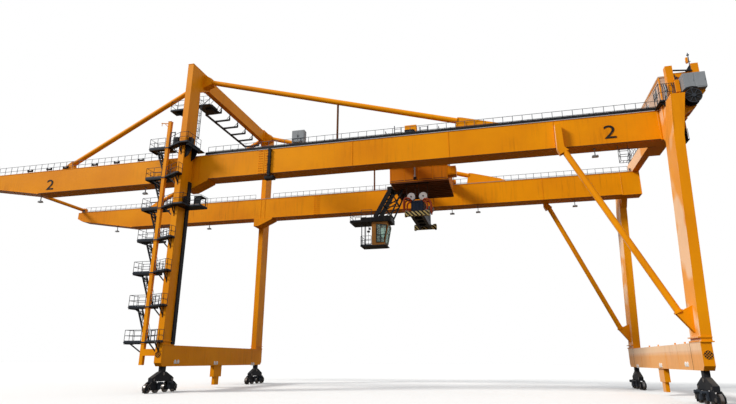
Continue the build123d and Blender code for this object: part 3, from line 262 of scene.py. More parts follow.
def makeGrainGroup():
    # height of rolled plate under paint: slow waves and a fine orange peel
    group, given, place = newGroup("plateGrain", "Height", Wave_Size=1.1, Peel_Size=60.0)
    wave = addNoise(group, place, given["Wave Size"], 2.0)
    peel = addNoise(group, place, given["Peel Size"], 2.0)
    return closeGroup(group, addMath(group, "ADD", wave, times(group, peel, 0.08)))


def makeChipGroup():
    # small rust blooms where the coat has chipped
    group, given, place = newGroup("rustBlooms", "Mask", Spot_Size=5.0, Amount=0.5)
    spot = addRamp(group, addNoise(group, place, given["Spot Size"], 8.0, 0.7), 0.66, 0.74)
    area = addRamp(group, addNoise(group, place, 0.8, 2.0), 0.5, 0.62)
    return closeGroup(group, times(group, spot, area), given["Amount"])


def makePaintedSunGroup():
    # painted sunlight: pale patches on the faces that look towards -X
    group, given, place = newGroup("paintedSunOnLeftFaces", "Mask", Amount=0.5)
    leftward = addRamp(group, times(group, facingAxes(group)["X"], -1.0), 0.80, 0.97)
    height = axesOf(group, place)["Z"]
    cloud = addRamp(group, addNoise(group, place, 0.42, 2.0), 0.47, 0.53)
    low = addRamp(group, times(group, height, -1.0), -2.3, -2.0)  # all of it on the sills
    band = times(group, addRamp(group, height, 1.60, 1.80), low)  # and most at their tops
    calm = addMath(group, "SUBTRACT", 1.0, times(group, low, 0.62))
    patch = addMath(group, "MAXIMUM", times(group, cloud, calm), times(group, low, 0.30))
    share = addMath(group, "ADD", times(group, patch, 0.62), 0.10)
    strong = addMath(group, "ADD", share, times(group, band, 0.55))
    return closeGroup(group, times(group, leftward, strong), given["Amount"])


groups = {"paintedSun": makePaintedSunGroup(), "runoff": makeRunoffGroup(), "dust": makeDustGroup(),
          "grain": makeGrainGroup(), "chips": makeChipGroup()}
print("shader groups made")


# finishes with linear colours: the coat, its darker shade, rain streaks and dust, then roughness from clean
# to worn, the amounts of streaks, dust and rust blooms, the grain's height and how metallic it is

looks = ("colour", "shade", "streak", "dust", "rough", "streaks", "dusty", "chips", "bump", "metal")
coats = {
    "orangePaint": ((0.85, 0.305, 0.001), (0.72, 0.225, 0.001), (0.22, 0.070, 0.004), (0.66, 0.31, 0.012),
                    (0.42, 0.60), 0.55, 0.45, 0.6, 0.012, 0.0),
    "palePanel": ((0.60, 0.42, 0.31), (0.54, 0.34, 0.23), (0.35, 0.25, 0.17), (0.55, 0.48, 0.40),
                  (0.45, 0.62), 0.5, 0.4, 0.4, 0.008, 0.0),
    "darkPaint": ((0.010, 0.012, 0.016), (0.020, 0.021, 0.025), (0.07, 0.050, 0.03), (0.11, 0.095, 0.08),
                  (0.42, 0.65), 0.5, 0.6, 0.8, 0.010, 0.0),
    "greyPaint": ((0.30, 0.32, 0.34), (0.22, 0.24, 0.26), (0.12, 0.10, 0.08), (0.45, 0.42, 0.38),
                  (0.40, 0.60), 0.5, 0.5, 0.5, 0.006, 0.0),
    "paleGrey": ((0.56, 0.57, 0.58), (0.44, 0.45, 0.47), (0.16, 0.13, 0.10), (0.50, 0.46, 0.40),
                 (0.38, 0.55), 0.5, 0.4, 0.4, 0.006, 0.0),
    "zincSteel": ((0.105, 0.125, 0.150), (0.070, 0.085, 0.105), (0.10, 0.08, 0.07), (0.22, 0.20, 0.18),
                  (0.42, 0.62), 0.4, 0.5, 0.3, 0.004, 0.30),
    "blueGrey": ((0.040, 0.050, 0.066), (0.026, 0.033, 0.044), (0.10, 0.075, 0.05), (0.20, 0.185, 0.165),
                 (0.45, 0.65), 0.5, 0.6, 0.5, 0.006, 0.2),
    "runningSteel": ((0.26, 0.25, 0.24), (0.16, 0.14, 0.13), (0.20, 0.09, 0.04), (0.24, 0.17, 0.12),
                     (0.30, 0.55), 0.5, 0.5, 0.9, 0.006, 0.85),
    "navyPaint": ((0.012, 0.022, 0.050), (0.020, 0.030, 0.055), (0.09, 0.075, 0.06), (0.18, 0.17, 0.16),
                  (0.36, 0.58), 0.5, 0.6, 0.6, 0.006, 0.0),
    "brownPaint": ((0.130, 0.042, 0.008), (0.085, 0.030, 0.008), (0.035, 0.018, 0.008), (0.20, 0.13, 0.09),
                   (0.50, 0.70), 0.6, 0.5, 0.8, 0.010, 0.0),
    "redRubber": ((0.50, 0.085, 0.030), (0.24, 0.030, 0.016), (0.10, 0.04, 0.03), (0.62, 0.28, 0.16),
                  (0.55, 0.72), 0.4, 0.5, 0.0, 0.004, 0.0),
    "wireRope": ((0.060, 0.058, 0.055), (0.035, 0.033, 0.030), (0.02, 0.018, 0.015), (0.14, 0.12, 0.10),
                 (0.35, 0.55), 0.3, 0.2, 0.0, 0.003, 0.7),
    "seatFabric": ((0.030, 0.032, 0.036), (0.05, 0.05, 0.055), (0.06, 0.055, 0.05), (0.10, 0.10, 0.10),
                   (0.75, 0.90), 0.1, 0.3, 0.0, 0.003, 0.0),
    "blackMark": ((0.010, 0.010, 0.011), (0.022, 0.020, 0.019), (0.07, 0.05, 0.03), (0.12, 0.09, 0.06),
                  (0.45, 0.62), 0.4, 0.3, 0.5, 0.003, 0.0),
}
finishes = {name: dict(zip(looks, coat)) for name, coat in coats.items()}
coating = {"shadeScale": 0.35, "shadeRange": (0.35, 0.72), "paintedSun": 0.9, "streakWidth": 9.0, "dustCloud": 1.4,
           "rustSpot": 5.0, "rust": (0.13, 0.045, 0.018), "specular": 0.07, "bump": 0.5,
           "wave": 1.1, "peel": 60.0}


def addMix(tree, mask, first, second):
    node = tree.nodes.new("ShaderNodeMix")
    node.data_type = "RGBA"
    putIn(tree, node.inputs["Factor"], mask)
    for label, value in (("A", first), ("B", second)):
        socket = [s for s in node.inputs if s.name == label and s.type == "RGBA"][0]
        putIn(tree, socket, (*value, 1) if isinstance(value, tuple) else value)
    return [s for s in node.outputs if s.type == "RGBA"][0]


def placeGroup(tree, key, **values):
    node = tree.nodes.new("ShaderNodeGroup")
    node.node_tree = groups[key]
    return feed(tree, node, **values).outputs[0]


def makePaint(name):
    # a weathered coat: two shades, painted sunlight on -X faces where the finish has it, streaks, dust, rust
    # blooms, plate grain
    look = finishes[name]
    mat, tree, shader = newMaterial(name)
    place = objectPlace(tree)
    shade = addRamp(tree, addNoise(tree, place, coating["shadeScale"]), *coating["shadeRange"])
    base = addMix(tree, shade, look["colour"], look["shade"])
    if "pattern" in look:
        base = look["pattern"](tree, axesOf(tree, place), base)
    # painted sunlight: the pale colour on faces that look towards -X
    if "paintedSunColour" in look:
        base = addMix(tree, placeGroup(tree, "paintedSun", Amount=coating["paintedSun"]), base, look["paintedSunColour"])
    streaks = placeGroup(tree, "runoff", Width=coating["streakWidth"], Amount=look["streaks"])
    dust = placeGroup(tree, "dust", Cloud_Size=coating["dustCloud"], Amount=look["dusty"])
    chips = placeGroup(tree, "chips", Spot_Size=coating["rustSpot"], Amount=look["chips"])
    for mask, colour in ((streaks, look["streak"]), (dust, look["dust"]), (chips, coating["rust"])):
        base = addMix(tree, mask, base, colour)
    low, high = look["rough"]
    worn = times(tree, addMath(tree, "ADD", dust, chips, clamp=True), high - low)
    grain = placeGroup(tree, "grain", Wave_Size=coating["wave"], Peel_Size=coating["peel"])
    bump = addNode(tree, "ShaderNodeBump", Strength=coating["bump"], Distance=look["bump"], Height=grain)
    feed(tree, shader, Base_Color=base, Roughness=addMath(tree, "ADD", worn, low), Metallic=look["metal"],
         Specular_IOR_Level=coating["specular"], Normal=bump.outputs["Normal"])
    return mat


def addPhase(tree, value, pitch):
    # how far a value is through its repeat, from nought to one
    return addMath(tree, "FRACT", addMath(tree, "DIVIDE", value, pitch))


def addGrid(tree, axes, lines):
    # one on two sets of lines, each given by its axis, pitch and share of the pitch
    masks = [addMath(tree, "LESS_THAN", addPhase(tree, axes[axis], pitch), share)
             for axis, pitch, share in lines]
    return addMath(tree, "MAXIMUM", *masks)


hazard = {"pitch": 0.20, "yellow": (0.82, 0.66, 0.26), "black": (0.008, 0.008, 0.009), "share": 0.5,
          "beamFrom": 1.37, "body": (0.030, 0.032, 0.038)}


def hazardColour(tree, axes, base):
    # diagonal stripes across the end beams; the beams between them are plain and dark
    slant = addMath(tree, "ADD", addMath(tree, "ADD", axes["X"], axes["Y"]), axes["Z"])
    stripe = addMath(tree, "GREATER_THAN", addPhase(tree, slant, hazard["pitch"]), hazard["share"])
    striped = addMix(tree, stripe, hazard["yellow"], hazard["black"])
    endBeam = addMath(tree, "GREATER_THAN", addMath(tree, "ABSOLUTE", axes["Y"]), hazard["beamFrom"])
    return addMix(tree, endBeam, hazard["body"], striped)


cladding = {"joints": (("Y", 0.94, 0.013 / 0.94), ("Z", 0.27, 0.013 / 0.27)), "dark": (0.30, 0.13, 0.06)}


def claddingColour(tree, axes, base):
    # thin rusty joints between the house's wall sheets, both ways
    return addMix(tree, addGrid(tree, axes, cladding["joints"]), base, cladding["dark"])


grating = {"bars": (("X", 0.034, 0.22), ("Y", 0.085, 0.22)), "open": (0.004, 0.004, 0.005)}


def gratingColour(tree, axes, base):
    # bars of a floor grating, seen as a fine grid on the decks
    return addMix(tree, addGrid(tree, axes, grating["bars"]), grating["open"], base)


deckShadeTone = {"under": 10.14, "blend": 0.03, "side": (0.66, 0.20, 0.004)}


def deckShadedColour(tree, axes, base):
    # the hoist deck's sides are a little darker than the girders' orange; below z 10.14 it is dark brown,
    # painted shade on its underside, and a dark brown band runs along the foot of its sides
    above = addRamp(tree, axes["Z"], deckShadeTone["under"], deckShadeTone["under"] + deckShadeTone["blend"])
    return addMix(tree, above, base, deckShadeTone["side"])


glass = {"colours": ((0.52, 0.70, 0.62), (0.66, 0.78, 0.72)), "film": 3.0, "rough": (0.04, 0.16),
         "clear": 0.82, "bend": 1.45}
lampGlass = {"colours": ((0.90, 0.90, 0.86), (0.55, 0.57, 0.58)), "cells": 45.0, "rough": (0.15, 0.2)}


def finishGlass(tree, shader, mask, look):
    # two colours and a roughness that follow one mask
    low, more = look["rough"]
    rough = addMath(tree, "ADD", times(tree, mask, more), low)
    feed(tree, shader, Base_Color=addMix(tree, mask, *look["colours"]), Roughness=rough)


def makeGlass():
    mat, tree, shader = newMaterial("cabGlass")
    film = addRamp(tree, addNoise(tree, objectPlace(tree), glass["film"], 5.0), 0.4, 0.75)
    finishGlass(tree, shader, film, glass)
    feed(tree, shader, Transmission_Weight=glass["clear"], IOR=glass["bend"])
    return mat


def makeLamp():
    mat, tree, shader = newMaterial("lampFace")
    cells = addNode(tree, "ShaderNodeTexVoronoi", Scale=lampGlass["cells"], Vector=objectPlace(tree))
    finishGlass(tree, shader, addRamp(tree, cells.outputs["Distance"], 0.1, 0.6), lampGlass)
    return mat


# the pale colour of the painted sunlight on the orange's -X faces
finishes["orangePaint"]["paintedSunColour"] = (0.90, 0.68, 0.48)
finishes["palePanel"]["pattern"] = claddingColour
# finishes that change a few values of another one
for name, source, changes in (
        ("hazardPaint", "greyPaint", dict(dusty=0.35, streaks=0.4, chips=0.6, pattern=hazardColour)),
        ("grating", "blueGrey", dict(dusty=0.25, colour=(0.026, 0.032, 0.042), shade=(0.016, 0.02, 0.027),
                                     pattern=gratingColour)),
        # the cab wears the crane's orange darkened to tan: painted shade, taken from its shaded side
        ("cabOrangeInShade", "orangePaint", dict(colour=(0.42, 0.20, 0.055), shade=(0.34, 0.145, 0.035),
                                         paintedSunColour=(0.50, 0.30, 0.14))),
        ("whitePaint", "paleGrey", dict(colour=(0.84, 0.83, 0.80), shade=(0.66, 0.64, 0.60))),
        ("paleGreen", "paleGrey", dict(colour=(0.36, 0.52, 0.42), shade=(0.28, 0.42, 0.34))),
        # the deck's brown coat below z 10.14 is painted shade on its underside
        ("deckPaintShadedBelow", "brownPaint", dict(streaks=0.7, colour=(0.30, 0.105, 0.035), shade=(0.14, 0.050, 0.022),
                                         streak=(0.040, 0.018, 0.010), pattern=deckShadedColour))):
    finishes[name] = dict(finishes[source], **changes)
mats = {name: makePaint(name) for name in finishes}
mats["cabGlass"] = makeGlass()
mats["lampFace"] = makeLamp()
print("finishes made")


# which finish each CAD piece wears

wears = {
    "orangePaint": "girder_near girder_far left_leg_near left_leg_far pylon_crossbeam right_leg_near "
                   "right_leg_far sill_left sill_right leg_struts stays_left stays_right tip_tie "
                   "right_crossbeam head_deck head_portal rail_clamps stair_column trolley_frame "
                   "trolley_cabinets",
    "cabOrangeInShade": "cab_body",
    "palePanel": "machine_house",
    "blackMark": "cable_reel",
    "darkPaint": "cable_ducts travel_bogies crossbeam_walkway stair_stringers cab_truss",
    "grating": "leg_platforms stair_landings cab_deck",
    "zincSteel": "girder_handrails",
    "blueGrey": "stair_treads pylon_ladder",
    "greyPaint": "reel_cabinet girder_cabinet floodlights",
    "runningSteel": "travel_wheels trolley_rails trolley_wheels",
    "deckPaintShadedBelow": "hoist_deck",
    "brownPaint": "stay_hangers",
    "hazardPaint": "spreader",
    "navyPaint": "head_block",
    "paleGrey": "rope_sheaves",
    "wireRope": "hoist_ropes",
    "cabGlass": "cab_glass",
}
finishOf = {name: finish for finish, names in wears.items() for name in names.split()}
for name, finish in finishOf.items():
    nodes[name].data.materials.clear()
    nodes[name].data.materials.append(mats[finish])
print("nodes without a finish:", [name for name in nodes if name not in finishOf])


# mesh helpers

axisVector = {"x": Vector((1, 0, 0)), "y": Vector((0, 1, 0)), "z": Vector((0, 0, 1))}


def up(height):
    return Vector((0, 0, height))


def pairs(points):
    return list(zip(points[:-1], points[1:]))


def addBox(bm, x0, y0, z0, x1, y1, z1):
    # a closed box between two corners, given in any order
    (x0, x1), (y0, y1), (z0, z1) = sorted((x0, x1)), sorted((y0, y1)), sorted((z0, z1))
    corners = [bm.verts.new((x, y, z)) for z in (z0, z1) for x, y in ((x0, y0), (x1, y0), (x1, y1), (x0, y1))]
    for ring in ((3, 2, 1, 0), (4, 5, 6, 7), (0, 1, 5, 4), (1, 2, 6, 5), (2, 3, 7, 6), (3, 0, 4, 7)):
        bm.faces.new([corners[i] for i in ring])


def addCentredBox(bm, x, y, z, width, depth, height):
    addBox(bm, x - width / 2, y - depth / 2, z - height / 2, x + width / 2, y + depth / 2, z + height / 2)


def addTube(bm, first, last):
    # a closed solid between two outlines with the same number of points
    rings = [[bm.verts.new(point) for point in ring] for ring in (first, last)]
    for step in range(len(first)):
        after = (step + 1) % len(first)
        bm.faces.new((rings[0][step], rings[0][after], rings[1][after], rings[1][step]))
    bm.faces.new(list(reversed(rings[0])))
    bm.faces.new(rings[1])


def addBar(bm, start, end, width, depth=None, sides=4):
    # a straight bar of few sides from start to end; depth is its size across the vertical plane
    start, end = Vector(start), Vector(end)
    run = (end - start).normalized()
    across = run.cross(axisVector["z"] if abs(run.z) < 0.95 else axisVector["x"]).normalized()
    rise = across.cross(run).normalized()
    depth = width if depth is None else depth
    reach = 0.5 / cos(pi / sides) if sides == 4 else 0.5
    angles = [2 * pi * (step + 0.5) / sides for step in range(sides)]
    offsets = [across * (cos(a) * width * reach) + rise * (sin(a) * depth * reach) for a in angles]
    addTube(bm, [start + offset for offset in offsets], [end + offset for offset in offsets])


def addPath(bm, points, width, depth=None, sides=4):
    for start, end in pairs(points):
        addBar(bm, start, end, width, depth, sides)


def addPost(bm, x, y, foot, top, width, sides=6):
    addBar(bm, (x, y, foot), (x, y, top), width, sides=sides)


def addDisc(bm, centre, axis, radius, thickness, sides=20):
    reach = axisVector[axis] * thickness / 2
    addBar(bm, Vector(centre) - reach, Vector(centre) + reach, 2 * radius, 2 * radius, sides)


def addPrism(bm, outline, start, end):
    # an outline of (x, z) pairs pushed along y
    addTube(bm, [(x, start, z) for x, z in outline], [(x, end, z) for x, z in outline])


def circle(centre, radius, axis, degrees):
    # points round a centre in the plane across an axis
    across, rise = [axisVector[other] for other in "xyz" if other != axis]
    return [Vector(centre) + across * (radius * cos(radians(d))) + rise * (radius * sin(radians(d)))
            for d in degrees]


def addAxleCap(bm, centre, axis, face, radius, boltsOut, firstBolt):
    # a cap with a ring of six bolts, whose middles stand boltsOut before the cap's
    addDisc(bm, centre, axis, radius, 0.012, 16)
    middle = Vector(centre) + axisVector[axis] * face * boltsOut
    for spot in circle(middle, 0.060, axis, range(firstBolt, 360 + firstBolt, 60)):
        addDisc(bm, spot, axis, 0.009, 0.012, 6)


def closeMesh(name, bm, bevel=0.0):
    # the drawn shapes as one mesh with its faces outwards
    bmesh.ops.recalc_face_normals(bm, faces=bm.faces)
    if bevel:
        sharp = [e for e in bm.edges if len(e.link_faces) == 2 and e.calc_face_angle(0) > 0.6]
        bmesh.ops.bevel(bm, geom=sharp, offset=bevel, segments=1, affect="EDGES", clamp_overlap=True)
    mesh = bpy.data.meshes.new(name)
    bm.to_mesh(mesh)
    bm.free()
    return mesh


def ridePiece(name, mesh, body):
    # an object at the origin that rides on its body, with the slot of its finish
    piece = addObject(name, mesh)
    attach(piece, body)
    return piece


def finishPiece(name, bm, finish, body="gantry", bevel=0.0):
    mesh = closeMesh(name, bm, bevel)
    mesh.materials.append(mats[finish])
    return ridePiece(name, mesh, body)


def evaluatedMesh(thing):
    # a plain mesh of an object as its modifiers or text leave it; the object goes
    scene.view_layers[0].update()
    mesh = bpy.data.meshes.new_from_object(thing.evaluated_get(bpy.context.evaluated_depsgraph_get()))
    bpy.data.objects.remove(thing)
    return mesh


# repeats along a line, made by geometry nodes

def makeRowTree():
    # copies of a small part at even places along a mesh line
    tree = bpy.data.node_groups.new("evenRow", "GeometryNodeTree")
    for label, way, kind in (("Geometry", "INPUT", "Geometry"), ("Part", "INPUT", "Object"),
                             ("Spacing", "INPUT", "Float"), ("Finish", "INPUT", "Material"),
                             ("Geometry", "OUTPUT", "Geometry")):
        tree.interface.new_socket(name=label, in_out=way, socket_type="NodeSocket" + kind)
    given = tree.nodes.new("NodeGroupInput").outputs
    line = addNode(tree, "GeometryNodeMeshToCurve", Mesh=given["Geometry"]).outputs["Curve"]
    points = tree.nodes.new("GeometryNodeCurveToPoints")
    points.mode = "LENGTH"
    feed(tree, points, Curve=line, Length=given["Spacing"])
    part = addNode(tree, "GeometryNodeObjectInfo", Object=given["Part"]).outputs["Geometry"]
    copies = addNode(tree, "GeometryNodeInstanceOnPoints", Points=points.outputs["Points"], Instance=part)
    real = addNode(tree, "GeometryNodeRealizeInstances", Geometry=copies.outputs["Instances"])
    paint = addNode(tree, "GeometryNodeSetMaterial", Geometry=real.outputs["Geometry"],
                    Material=given["Finish"])
    feed(tree, tree.nodes.new("NodeGroupOutput"), Geometry=paint.outputs["Geometry"])
    return tree


rowTree = makeRowTree()


def rowPiece(name, part, lines, spacing, finish, body="gantry"):
    # a copy of part every spacing metres along each of the lines, as one plain mesh
    source = addObject(name + "Part", part)
    guide = bpy.data.meshes.new(name + "Guide")
    edges = [(2 * i, 2 * i + 1) for i in range(len(lines))]
    guide.from_pydata([point for line in lines for point in line], edges, [])
    carrier = addObject(name + "Carrier", guide)
    modifier = carrier.modifiers.new("row", "NODES")
    modifier.node_group = rowTree
    values = {"Part": source, "Spacing": spacing, "Finish": mats[finish]}
    for item in rowTree.interface.items_tree:
        if item.in_out == "INPUT" and item.name in values:
            modifier[item.identifier] = values[item.name]
    mesh = evaluatedMesh(carrier)
    mesh.name = name
    bpy.data.objects.remove(source)
    return ridePiece(name, mesh, body)


# railings: round posts, a top rail, a knee rail and a kick plate

railing = {"height": 0.52, "kneeShare": 0.52, "post": 0.026, "rail": 0.024, "kick": 0.05, "kickWidth": 0.006,
           "kickGap": 0.004, "spacing": 0.42, "gap": (-0.40, 0.84)}


def addRailing(bm, level, points, height=railing["height"], kick=True):
    # along straight runs between (x, y) points of a floor, or (x, y, z) where a point leaves its level
    for start, end in pairs([Vector((*point, level)[:3]) for point in points]):
        bays = max(1, round((end - start).length / railing["spacing"]))
        for lift in (height, height * railing["kneeShare"]):
            addBar(bm, start + up(lift), end + up(lift), railing["rail"], sides=6)
        for bay in range(bays + 1):
            foot = start.lerp(end, bay / bays)
            addBar(bm, foot, foot + up(height), railing["post"], sides=6)
        if kick:
            middle = up(railing["kick"] / 2 + railing["kickGap"])
            addBar(bm, start + middle, end + middle, railing["kickWidth"], railing["kick"])


def makeGirderRailings():
    # the plain CAD rails are replaced by tubes with closer posts and a kick plate, open at the left legs
    bm = bmesh.new()
    low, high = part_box("girder_handrails")
    half = railing["post"] / 2
    gapLeft, gapRight = railing["gap"]
    for side in bothSides:
        y = side * (high.y - half)
        for startX, endX in ((low.x + half, gapLeft - half), (gapRight, high.x - half)):
            addRailing(bm, girderTop, [(startX, y), (endX, y)])
    piece = finishPiece("girderRailings", bm, "zincSteel")
    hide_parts("girder_handrails")


makeGirderRailings()
print("girder railings made")


# bolts and seams on the gantry's steelwork

steel = {"bolt": 0.036, "boltDepth": 0.040, "spacing": 0.12, "splice": 4.08,
         "seams": (0.28, 0.56, 8.6, 13.1, 17.6),
         "flanges": ((0, 0.178, 4.30, 5.05), (rightX, 0.198, 4.65, 5.64)), "flangeZ": 2.065,
         "webRows": (-0.26, -0.17, -0.09, 0.09, 0.17, 0.26), "innerRows": 0.2,
         "underRows": (-0.28, -0.10, 0.10, 0.28), "endGap": 0.08, "edgeGap": 0.06,
         "stayPlates": ((-8.44, -7.44), (13.38, 15.88)), "plateHalf": 0.19, "anchorHalf": 0.155,
         "bead": (0.012, 0.008), "lips": ((-9.25, -0.18), (1.10, 21.68))}


def boltRows(name, axis, lines):
    bm = bmesh.new()
    addDisc(bm, (0, 0, 0), axis, steel["bolt"] / 2, steel["boltDepth"], 6)
    rowPiece(name, closeMesh(name + "Head", bm), lines, steel["spacing"], "orangePaint")


def makeFlangeBolts():
    upright, sideways = [], []
    for side in bothSides:
        for x, reach, inner, outer in steel["flanges"]:
            for lip in (x - reach, x + reach):
                upright.append(((lip, side * inner, steel["flangeZ"]), (lip, side * outer, steel["flangeZ"])))
        for row in steel["webRows"]:
            x = steel["splice"] + row
            for y in (outerWebY, innerWebY) if abs(row) < steel["innerRows"] else (outerWebY,):
                sideways.append(((x, side * y, girderBottom + steel["endGap"]),
                                 (x, side * y, girderTop - steel["endGap"])))
        for row in steel["underRows"]:
            x = steel["splice"] + row
            upright.append(((x, side * (innerWebY + steel["edgeGap"]), girderBottom),
                            (x, side * (outerWebY - steel["edgeGap"]), girderBottom)))
        # anchor bolts of the stays' plates on the girders
        for start, end in steel["stayPlates"]:
            for y in (girderMidY - steel["anchorHalf"], girderMidY + steel["anchorHalf"]):
                upright.append(((start + steel["endGap"], side * y, girderTop),
                                (end - steel["endGap"], side * y, girderTop)))
    boltRows("flangeBolts", "z", upright)
    boltRows("spliceBolts", "y", sideways)


def makeSeams():
    # weld beads down the webs and the plates under the stays' wedges
    bm = bmesh.new()
    for side in bothSides:
        for y in (side * (outerWebY + 0.002), side * (innerWebY - 0.002)):
            for x in steel["seams"]:
                addBar(bm, (x, y, girderBottom + 0.01), (x, y, girderTop - 0.01), *steel["bead"])
        for start, end in steel["stayPlates"]:
            addBox(bm, start, side * girderMidY - steel["plateHalf"], girderTop - 0.01,
                   end, side * girderMidY + steel["plateHalf"], girderTop + 0.012)
    finishPiece("webSeams", bm, "orangePaint")
    # dark brown strips along the lips of the bottom flanges
    bm = bmesh.new()
    for side in bothSides:
        for y, out in ((outerWebY, 0.014), (innerWebY, -0.014)):
            for start, end in steel["lips"]:
                addBox(bm, start, side * (y - out * 0.3), girderBottom - 0.004,
                       end, side * (y + out), girderBottom + 0.028)
    finishPiece("flangeLips", bm, "brownPaint")


makeFlangeBolts()
makeSeams()


# the plain number on both girders' outer webs

number = {"mark": "2", "proud": 0.003, "places": {"numberRight_": (19.58, 20.05, 10.305, 10.887),
                                                  "numberLeft_": (-8.80, -8.34, 10.24, 10.81)}}


def makeNumber(name, place, side):
    # Blender's own typeface, stretched to its place; from behind it is turned round to read the right way
    left, right, foot, top = place
    data = bpy.data.curves.new(name, "FONT")
    data.body, data.extrude = number["mark"], 0.5
    bm = bmesh.new()
    bm.from_mesh(evaluatedMesh(addObject(name, data)))
    low, high = [[pick(v.co[i] for v in bm.verts) for i in range(3)] for pick in (min, max)]
    for v in bm.verts:
        u, t, w = [(v.co[i] - low[i]) / (high[i] - low[i]) for i in range(3)]
        across = u if side < 0 else 1 - u
        v.co = (left + across * (right - left), side * (outerWebY + (w * 2 - 1) * number["proud"]),
                foot + t * (top - foot))
    finishPiece(name, bm, "blackMark")


for sideName, side in sideOf.items():
    for start, place in number["places"].items():
        makeNumber(start + sideName, place, side)
print("bolts, seams and numbers made")


# duct, box, walkway lights and tray edge on the near girder

fittings = {"duct": (4.33, 4.47, 9.92, 11.33), "collars": (10.1, 10.5, 10.9, 11.25), "depth": 0.09,
            "box": (4.18, 4.66, 9.78, 9.94),
            "lights": (-10.4, -9.1, -8.0, -6.1, -4.7, -3.2, 2.3, 7.2, 10.4, 13.0, 16.4, 19.2)}


def makeGirderFittings():
    bm = bmesh.new()
    face = -outerWebY
    front = face - fittings["depth"]
    left, right, low, high = fittings["duct"]
    addBox(bm, left, front, low, right, face + 0.005, high)
    for z in fittings["collars"]:
        addBox(bm, left - 0.03, front - 0.008, z, right + 0.03, face + 0.004, z + 0.03)
    left, right, low, high = fittings["box"]
    addBox(bm, left, face - 0.05, low, right, face + 0.24, high)
    addBox(bm, left + 0.03, face - 0.062, low + 0.03, right - 0.03, face - 0.045, high - 0.03)
    addPost(bm, right - 0.1, face + 0.1, high - 0.01, girderBottom + 0.01, 0.03, 8)
    for x in fittings["lights"]:
        # a shallow box with a visor, on two stalks
        addBox(bm, x - 0.08, -4.10, girderTop + 0.13, x + 0.22, -4.00, girderTop + 0.20)
        for end in (x - 0.08, x + 0.20):
            addBox(bm, end, -4.11, girderTop + 0.12, end + 0.02, -4.00, girderTop + 0.26)
            addPost(bm, end + 0.01, -4.03, girderTop + 0.16, girderTop, 0.016)
    finishPiece("girderFittings", bm, "darkPaint", bevel=0.004)
    # light edge strip under the cable tray
    bm = bmesh.new()
    addBox(bm, 0.82, face - 0.012, girderTop - 0.012, 21.69, face + 0.01, girderTop + 0.010)
    finishPiece("trayEdge", bm, "paleGrey")


makeGirderFittings()
print("girder fittings made")


# sills: bands, flange rings, grilles, fixtures and joints

sill = {"webHalf": 0.175, "band": 1.75, "bands": ((0, 4.79), (rightX, 5.35)), "ribs": (-3.0, -1.3, 1.3, 3.0),
        "foot": 1.12, "rings": ((0, 0.2, 4.254, 5.096), (rightX, 0.22, 4.604, 5.72)), "ringZ": (2.175, 2.215),
        "fixtures": ((3.915, 1.165), (-0.385, 1.245), (-3.915, 1.31)), "discStep": 0.12,
        "grilles": ((0, "sill_left"), (21.563, "sill_right")), "grilleZ": 1.61, "grille": 0.15,
        "lattice": 0.068, "jointY": 4.57, "jointZ": (1.11, 2.02)}


def addLattice(bm, centre, radius, pitch):
    # flat bars both ways over a round grille, each cut to the circle
    for step in range(-2, 3):
        off = step * pitch
        half = sqrt(radius ** 2 - off ** 2)
        for tilt in (-1, 1):
            one = Vector((off + half, 0, tilt * (half - off))) * sqrt(0.5)
            two = Vector((off - half, 0, -tilt * (half + off))) * sqrt(0.5)
            addBar(bm, centre + one, centre + two, 0.025, 0.010)


def makeSillDetails():
    bm = bmesh.new()
    for x, reach in sill["bands"]:
        for at in (x - sill["webHalf"], x + sill["webHalf"]):
            addBox(bm, at - 0.006, -reach, sill["band"], at + 0.006, reach, sill["band"] + 0.014)
            for y in sill["ribs"]:
                addBox(bm, at - 0.005, y - 0.005, sill["foot"], at + 0.005, y + 0.005, sill["band"])
    for x, width, inner, outer in sill["rings"]:
        for side in bothSides:
            addBox(bm, x - width, side * inner, sill["ringZ"][0], x + width, side * outer, sill["ringZ"][1])
    finishPiece("sillBands", bm, "orangePaint")
    bm, bars = bmesh.new(), bmesh.new()
    for x, node in sill["grilles"]:
        for end in bothSides:
            centre = Vector((x, end * (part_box(node)[1].y - 0.002), sill["grilleZ"]))
            # a dark disc behind each lattice: painted shade inside the grille
            addDisc(bm, centre, "y", sill["grille"], 0.010, 24)
            addLattice(bars, centre + Vector((0, end * 0.004, 0)), sill["grille"], sill["lattice"])
    finishPiece("sillGrilles", bm, "darkPaint")
    finishPiece("sillLattices", bars, "orangePaint")
    bm = bmesh.new()
    for y, z in sill["fixtures"]:
        for x, face in ((rightX - sill["webHalf"], -1), (sill["webHalf"], 1)):
            for step in (-sill["discStep"], sill["discStep"]):
                addDisc(bm, (x + face * 0.010, y + step, z), "x", 0.080, 0.03, 18)
            addBox(bm, x - 0.014, y - 0.20, z - 0.095, x + 0.014, y + 0.20, z - 0.045)
    finishPiece("sillFixtures", bm, "whitePaint", bevel=0.004)
    # dark joint between the right sill's web and the boxes under its legs
    bm = bmesh.new()
    for y in (-sill["jointY"], sill["jointY"]):
        for at in (rightX - sill["webHalf"], rightX + sill["webHalf"]):
            addBox(bm, at - 0.004, y - 0.012, sill["jointZ"][0], at + 0.004, y + 0.012, sill["jointZ"][1])
    finishPiece("sillJoints", bm, "brownPaint")


bogie = {"legs": ((0, leftLegY, 1), (rightX, 5.145, -1)), "reach": 0.65, "wheel": 0.30, "axleZ": 0.2,
         "pinZ": 0.545, "middlePinZ": 0.79, "motorZ": 0.40, "fins": 5, "finPitch": 0.03, "sweepReach": 1.07}


